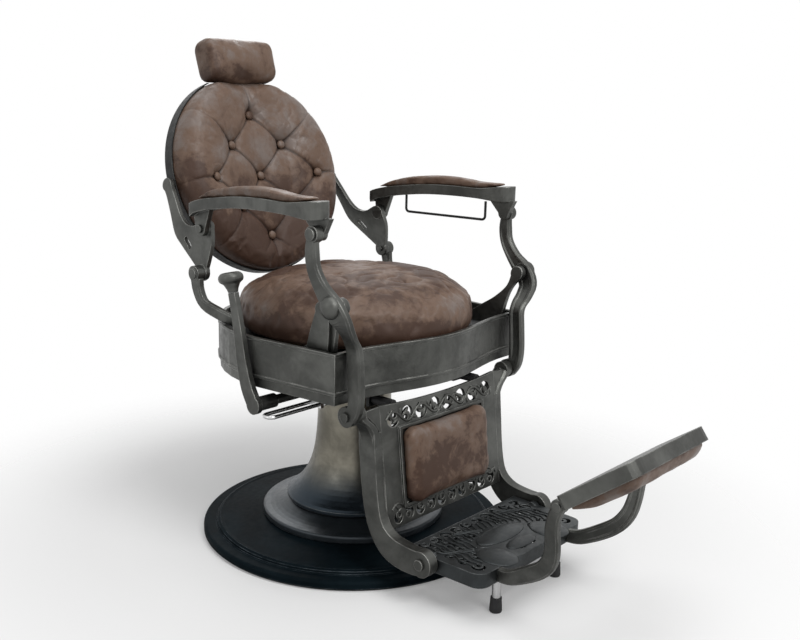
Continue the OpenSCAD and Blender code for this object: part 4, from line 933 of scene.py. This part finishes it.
class CHAIR_OT_relief(bpy.types.Operator):
    """Adds the cast leaves of the calf frame, the relief of the footplate and the elbow caps"""
    bl_idname = "chair.relief"
    bl_label = "Cast relief"

    def execute(self, context):
        self.calf_frame()
        self.footplate()
        self.elbows()
        return {"FINISHED"}

    def calf_frame(self):
        bm = bmesh.new()
        stems = []
        for height, length, count, radius, leaf in CALF_BANDS:
            step = length / count
            for i in range(count):
                x = (i + 0.5) * step - length / 2
                turn = LEAF_TURNS[i % len(LEAF_TURNS)]
                for place, radii, more in (
                        ((x - radius * 0.35, 0.003, height + radius * 0.25),
                         (leaf / 2, 0.0055, leaf * 0.14), 0),
                        ((x + radius * 0.5, 0.003, height - radius * 0.4),
                         (leaf * 0.4, 0.005, leaf * 0.12), -80),
                        ((x + step / 2, 0.001, height + radius * 0.55 * (-1) ** i),
                         (leaf * 0.3, 0.0035, leaf * 0.11), 50)):
                    lens(bm, place, radii, turn + more, "Y")
            stems.append([self.stem_point(k / STEM_STEPS, height, length, count, radius)
                          for k in range(STEM_STEPS + 1)])
        bmesh.ops.transform(bm, verts=bm.verts, matrix=CALF_PLANE)
        attach(from_bmesh("calf_leaves", bm, MATERIAL["pewter"]), "leg_frame")
        attach(rods("calf_stems", stems, STEM_RADIUS, MATERIAL["pewter"]), "leg_frame")

    def stem_point(self, t, height, length, count, radius):
        """Point of a wavy stem at a share of its length."""
        rise = radius * 0.75 * math.sin(t * count * math.pi)
        return CALF_PLANE @ Vector((length * (t - 0.5), 0.0005, height + rise))

    def footplate(self):
        bm = bmesh.new()
        for x, y, across, along in SOLES:
            lens(bm, (x, y, PLATE_TOP), (across, along, SOLE_HEIGHT))
        attach(from_bmesh("foot_soles", bm, MATERIAL["plate"]), "footrest")
        ribs = []
        for i in range(RIBS):
            x = (i / (RIBS - 1) - 0.5) * RIB_SPREAD
            length = RIB_LONG if abs(x) < RIB_MIDDLE else RIB_SHORT
            run = []
            for k in range(RIB_STEPS + 1):
                y = RIB_REAR - length * k / RIB_STEPS
                bend = 0.0045 * math.sin(70 * y + 0.5 * i) + 0.003 * math.sin(131 * y + 0.9 * i)
                clear = self.clear_of_soles(x, y, bend)
                if clear:
                    run.append((x + bend, y, PLATE_TOP + 0.0004))
                if (not clear or k == RIB_STEPS) and run:
                    if len(run) > 2:
                        ribs.append(run)
                    run = []
        attach(rods("foot_ribs", ribs, RIB_RADIUS, MATERIAL["plate"]), "footrest")

    def clear_of_soles(self, x, y, bend):
        outside = all(((x + bend - a) / (c + RIB_ROOM)) ** 2 + ((y - b) / (d + RIB_ROOM)) ** 2 > 1
                      for a, b, c, d in SOLES)
        return outside and (y > BARE_FRONT or abs(x) > BARE_HALF)

    def elbows(self):
        for side, name in ((-1, "right"), (1, "left")):
            bm = bmesh.new()
            lens(bm, (side * ELBOW[0], ELBOW[1], ELBOW[2]), ELBOW_RADII)
            attach(from_bmesh("elbow_cap_" + name, bm, MATERIAL["pewter"]), "leg_frame")


class CHAIR_OT_shade_sheet(bpy.types.Operator):
    """Adds a dark sheet that closes the seat frame below the cushion, painted shade in the gap between
    cushion and skirt
    """
    bl_idname = "chair.dust_cover"
    bl_label = "Shade sheet"

    def execute(self, context):
        bm = bmesh.new()
        bmesh.ops.create_circle(bm, cap_ends=True, segments=96, radius=COVER_RADIUS)
        bmesh.ops.translate(bm, verts=bm.verts, vec=COVER_CENTRE)
        geometry = bm.verts[:] + bm.edges[:] + bm.faces[:]
        bmesh.ops.bisect_plane(bm, geom=geometry, plane_co=(0, COVER_FRONT, 0), plane_no=(0, -1, 0),
                               clear_outer=True)
        bmesh.ops.solidify(bm, geom=bm.faces[:], thickness=COVER_THICKNESS)
        attach(from_bmesh("dust_cover", bm, MATERIAL["cloth"], False), "seat")
        return {"FINISHED"}


# ---- Stage ---------------------------------------------------------------------------------------

CAMERA_PLACE = Vector((-1.5678, -1.5198, 0.9769))
CAMERA_AZIMUTH = math.radians(-48.53)
CAMERA_PITCH = math.radians(12.43)
CAMERA_ROLL = math.radians(1.43)
CAMERA_LENS = 43.948

# Name, place, target and size of each lamp, with the setting that holds its power and the share it takes
LAMPS = [
    ("key", (-0.5, -2.7, 2.8), (0, -0.1, 0.5), 1.6, "key_power", 1.0),
    ("sky", (-0.3, -0.4, 4.3), (0, 0, 0.5), 3.0, "sky_power", 1.0),
    ("side", (-3.0, 0.1, 1.5), (0, 0, 0.6), 1.4, "fill_power", 0.4),
    ("rim", (1.6, 2.2, 2.2), (0, 0.1, 0.7), 1.6, "fill_power", 1.0),
]

# Half size of the floor, its gap below the base, and where it fades out around the origin
FLOOR_HALF = 4.0
FLOOR_GAP = 0.0005
FLOOR_FADE = (0.55, 1.25)


class CHAIR_OT_stage(bpy.types.Operator):
    """Sets the camera, the soft studio lights, the floor and the white surround"""
    bl_idname = "chair.stage"
    bl_label = "Stage"

    def execute(self, context):
        scene = context.scene
        settings = scene.chair_stage
        scene.view_settings.view_transform = "Standard"
        self.camera(scene)
        self.world(scene, settings)
        for name, place, target, size, setting, share in LAMPS:
            self.lamp(name, place, target, size, getattr(settings, setting) * share)
        self.floor(settings)
        return {"FINISHED"}

    def camera(self, scene):
        az, p, r = CAMERA_AZIMUTH, CAMERA_PITCH, CAMERA_ROLL
        ahead = Vector((-math.sin(az) * math.cos(p), math.cos(az) * math.cos(p), -math.sin(p)))
        right = Vector((math.cos(az), math.sin(az), 0))
        up = right.cross(ahead)
        right, up = right * math.cos(r) + up * math.sin(r), up * math.cos(r) - right * math.sin(r)
        data = bpy.data.cameras.new("camera")
        data.lens = CAMERA_LENS
        data.sensor_width = 36.0
        made = bpy.data.objects.new("camera", data)
        turn = Matrix((right, up, -ahead)).transposed()
        made.matrix_world = Matrix.Translation(CAMERA_PLACE) @ turn.to_4x4()
        scene.collection.objects.link(made)
        scene.camera = made

    def world(self, scene, settings):
        world = bpy.data.worlds.new("studio")
        world.use_nodes = True
        tree = world.node_tree
        background = tree.nodes["Background"]
        background.inputs["Color"].default_value = (1, 1, 1, 1)
        ray = node(tree, "ShaderNodeLightPath")
        seen = maths(tree, "MAXIMUM", ray.outputs["Is Camera Ray"],
                     maths(tree, "MAXIMUM", ray.outputs["Is Glossy Ray"], ray.outputs["Is Transmission Ray"]))
        link(tree, ramp(tree, seen, 0.0, 1.0, settings.world_light, 1.0), background.inputs["Strength"])
        scene.world = world

    def lamp(self, name, place, target, size, power):
        data = bpy.data.lights.new(name, "AREA")
        data.shape = "DISK"
        data.size = size
        data.energy = power
        made = bpy.data.objects.new(name, data)
        place, target = Vector(place), Vector(target)
        turn = (target - place).to_track_quat("-Z", "Y").to_matrix().to_4x4()
        made.matrix_world = Matrix.Translation(place) @ turn
        bpy.context.scene.collection.objects.link(made)

    def floor(self, settings):
        bm = bmesh.new()
        bmesh.ops.create_grid(bm, x_segments=1, y_segments=1, size=FLOOR_HALF)
        bmesh.ops.translate(bm, verts=bm.verts, vec=(0, 0, CAD_BOX[0][2] - FLOOR_GAP))
        made, tree, shader = new_material("pale floor")
        shader.inputs["Base Color"].default_value = (0.8, 0.8, 0.8, 1)
        shader.inputs["Roughness"].default_value = 0.9
        shader.inputs["Specular IOR Level"].default_value = 0.0
        shader.inputs["Emission Color"].default_value = (1, 1, 1, 1)
        ray = node(tree, "ShaderNodeLightPath")
        link(tree, ramp(tree, ray.outputs["Is Camera Ray"], 0.0, 1.0, 0.0, settings.floor_glow),
             shader.inputs["Emission Strength"])
        place = node(tree, "ShaderNodeTexCoord").outputs["Object"]
        reach = node(tree, "ShaderNodeVectorMath", operation="LENGTH")
        link(tree, place, reach.inputs[0])
        fade = ramp(tree, reach.outputs["Value"], *FLOOR_FADE)
        clear = node(tree, "ShaderNodeBsdfTransparent")
        both = node(tree, "ShaderNodeMixShader")
        link(tree, fade, both.inputs[0])
        link(tree, shader.outputs[0], both.inputs[1])
        link(tree, clear.outputs[0], both.inputs[2])
        link(tree, both.outputs[0], tree.nodes["Material Output"].inputs["Surface"])
        from_bmesh("floor", bm, made, False)


# ---- Panel and registration ----------------------------------------------------------------------

OPERATORS = (CHAIR_OT_finishes, CHAIR_OT_stage, CHAIR_OT_seat, CHAIR_OT_back, CHAIR_OT_pads, CHAIR_OT_relief,
             CHAIR_OT_shade_sheet)


class CHAIR_PT_panel(bpy.types.Panel):
    """Lists the chair's pieces"""
    bl_idname = "CHAIR_PT_panel"
    bl_label = "Barber chair"
    bl_space_type = "VIEW_3D"
    bl_region_type = "UI"
    bl_category = "Barber chair"

    def draw(self, context):
        for operator in OPERATORS:
            self.layout.operator(operator.bl_idname)
        for group in (context.scene.chair_upholstery, context.scene.chair_metal, context.scene.chair_stage):
            for name in group.bl_rna.properties.keys():
                if name not in ("rna_type", "name"):
                    self.layout.prop(group, name)


SETTINGS = {"chair_upholstery": UpholsterySettings, "chair_metal": MetalSettings,
            "chair_stage": StageSettings}


def register():
    for name, group in SETTINGS.items():
        bpy.utils.register_class(group)
        setattr(bpy.types.Scene, name, bpy.props.PointerProperty(type=group))
    for operator in OPERATORS:
        bpy.utils.register_class(operator)
    bpy.utils.register_class(CHAIR_PT_panel)


def unregister():
    bpy.utils.unregister_class(CHAIR_PT_panel)
    for operator in reversed(OPERATORS):
        bpy.utils.unregister_class(operator)
    for name, group in SETTINGS.items():
        delattr(bpy.types.Scene, name)
        bpy.utils.unregister_class(group)


def main():
    register()
    bpy.ops.chair.finishes()
    bpy.ops.chair.stage()
    bpy.ops.chair.seat()
    bpy.ops.chair.back()
    bpy.ops.chair.pads()
    bpy.ops.chair.relief()
    bpy.ops.chair.dust_cover()


if __name__ == "__main__":
    main()
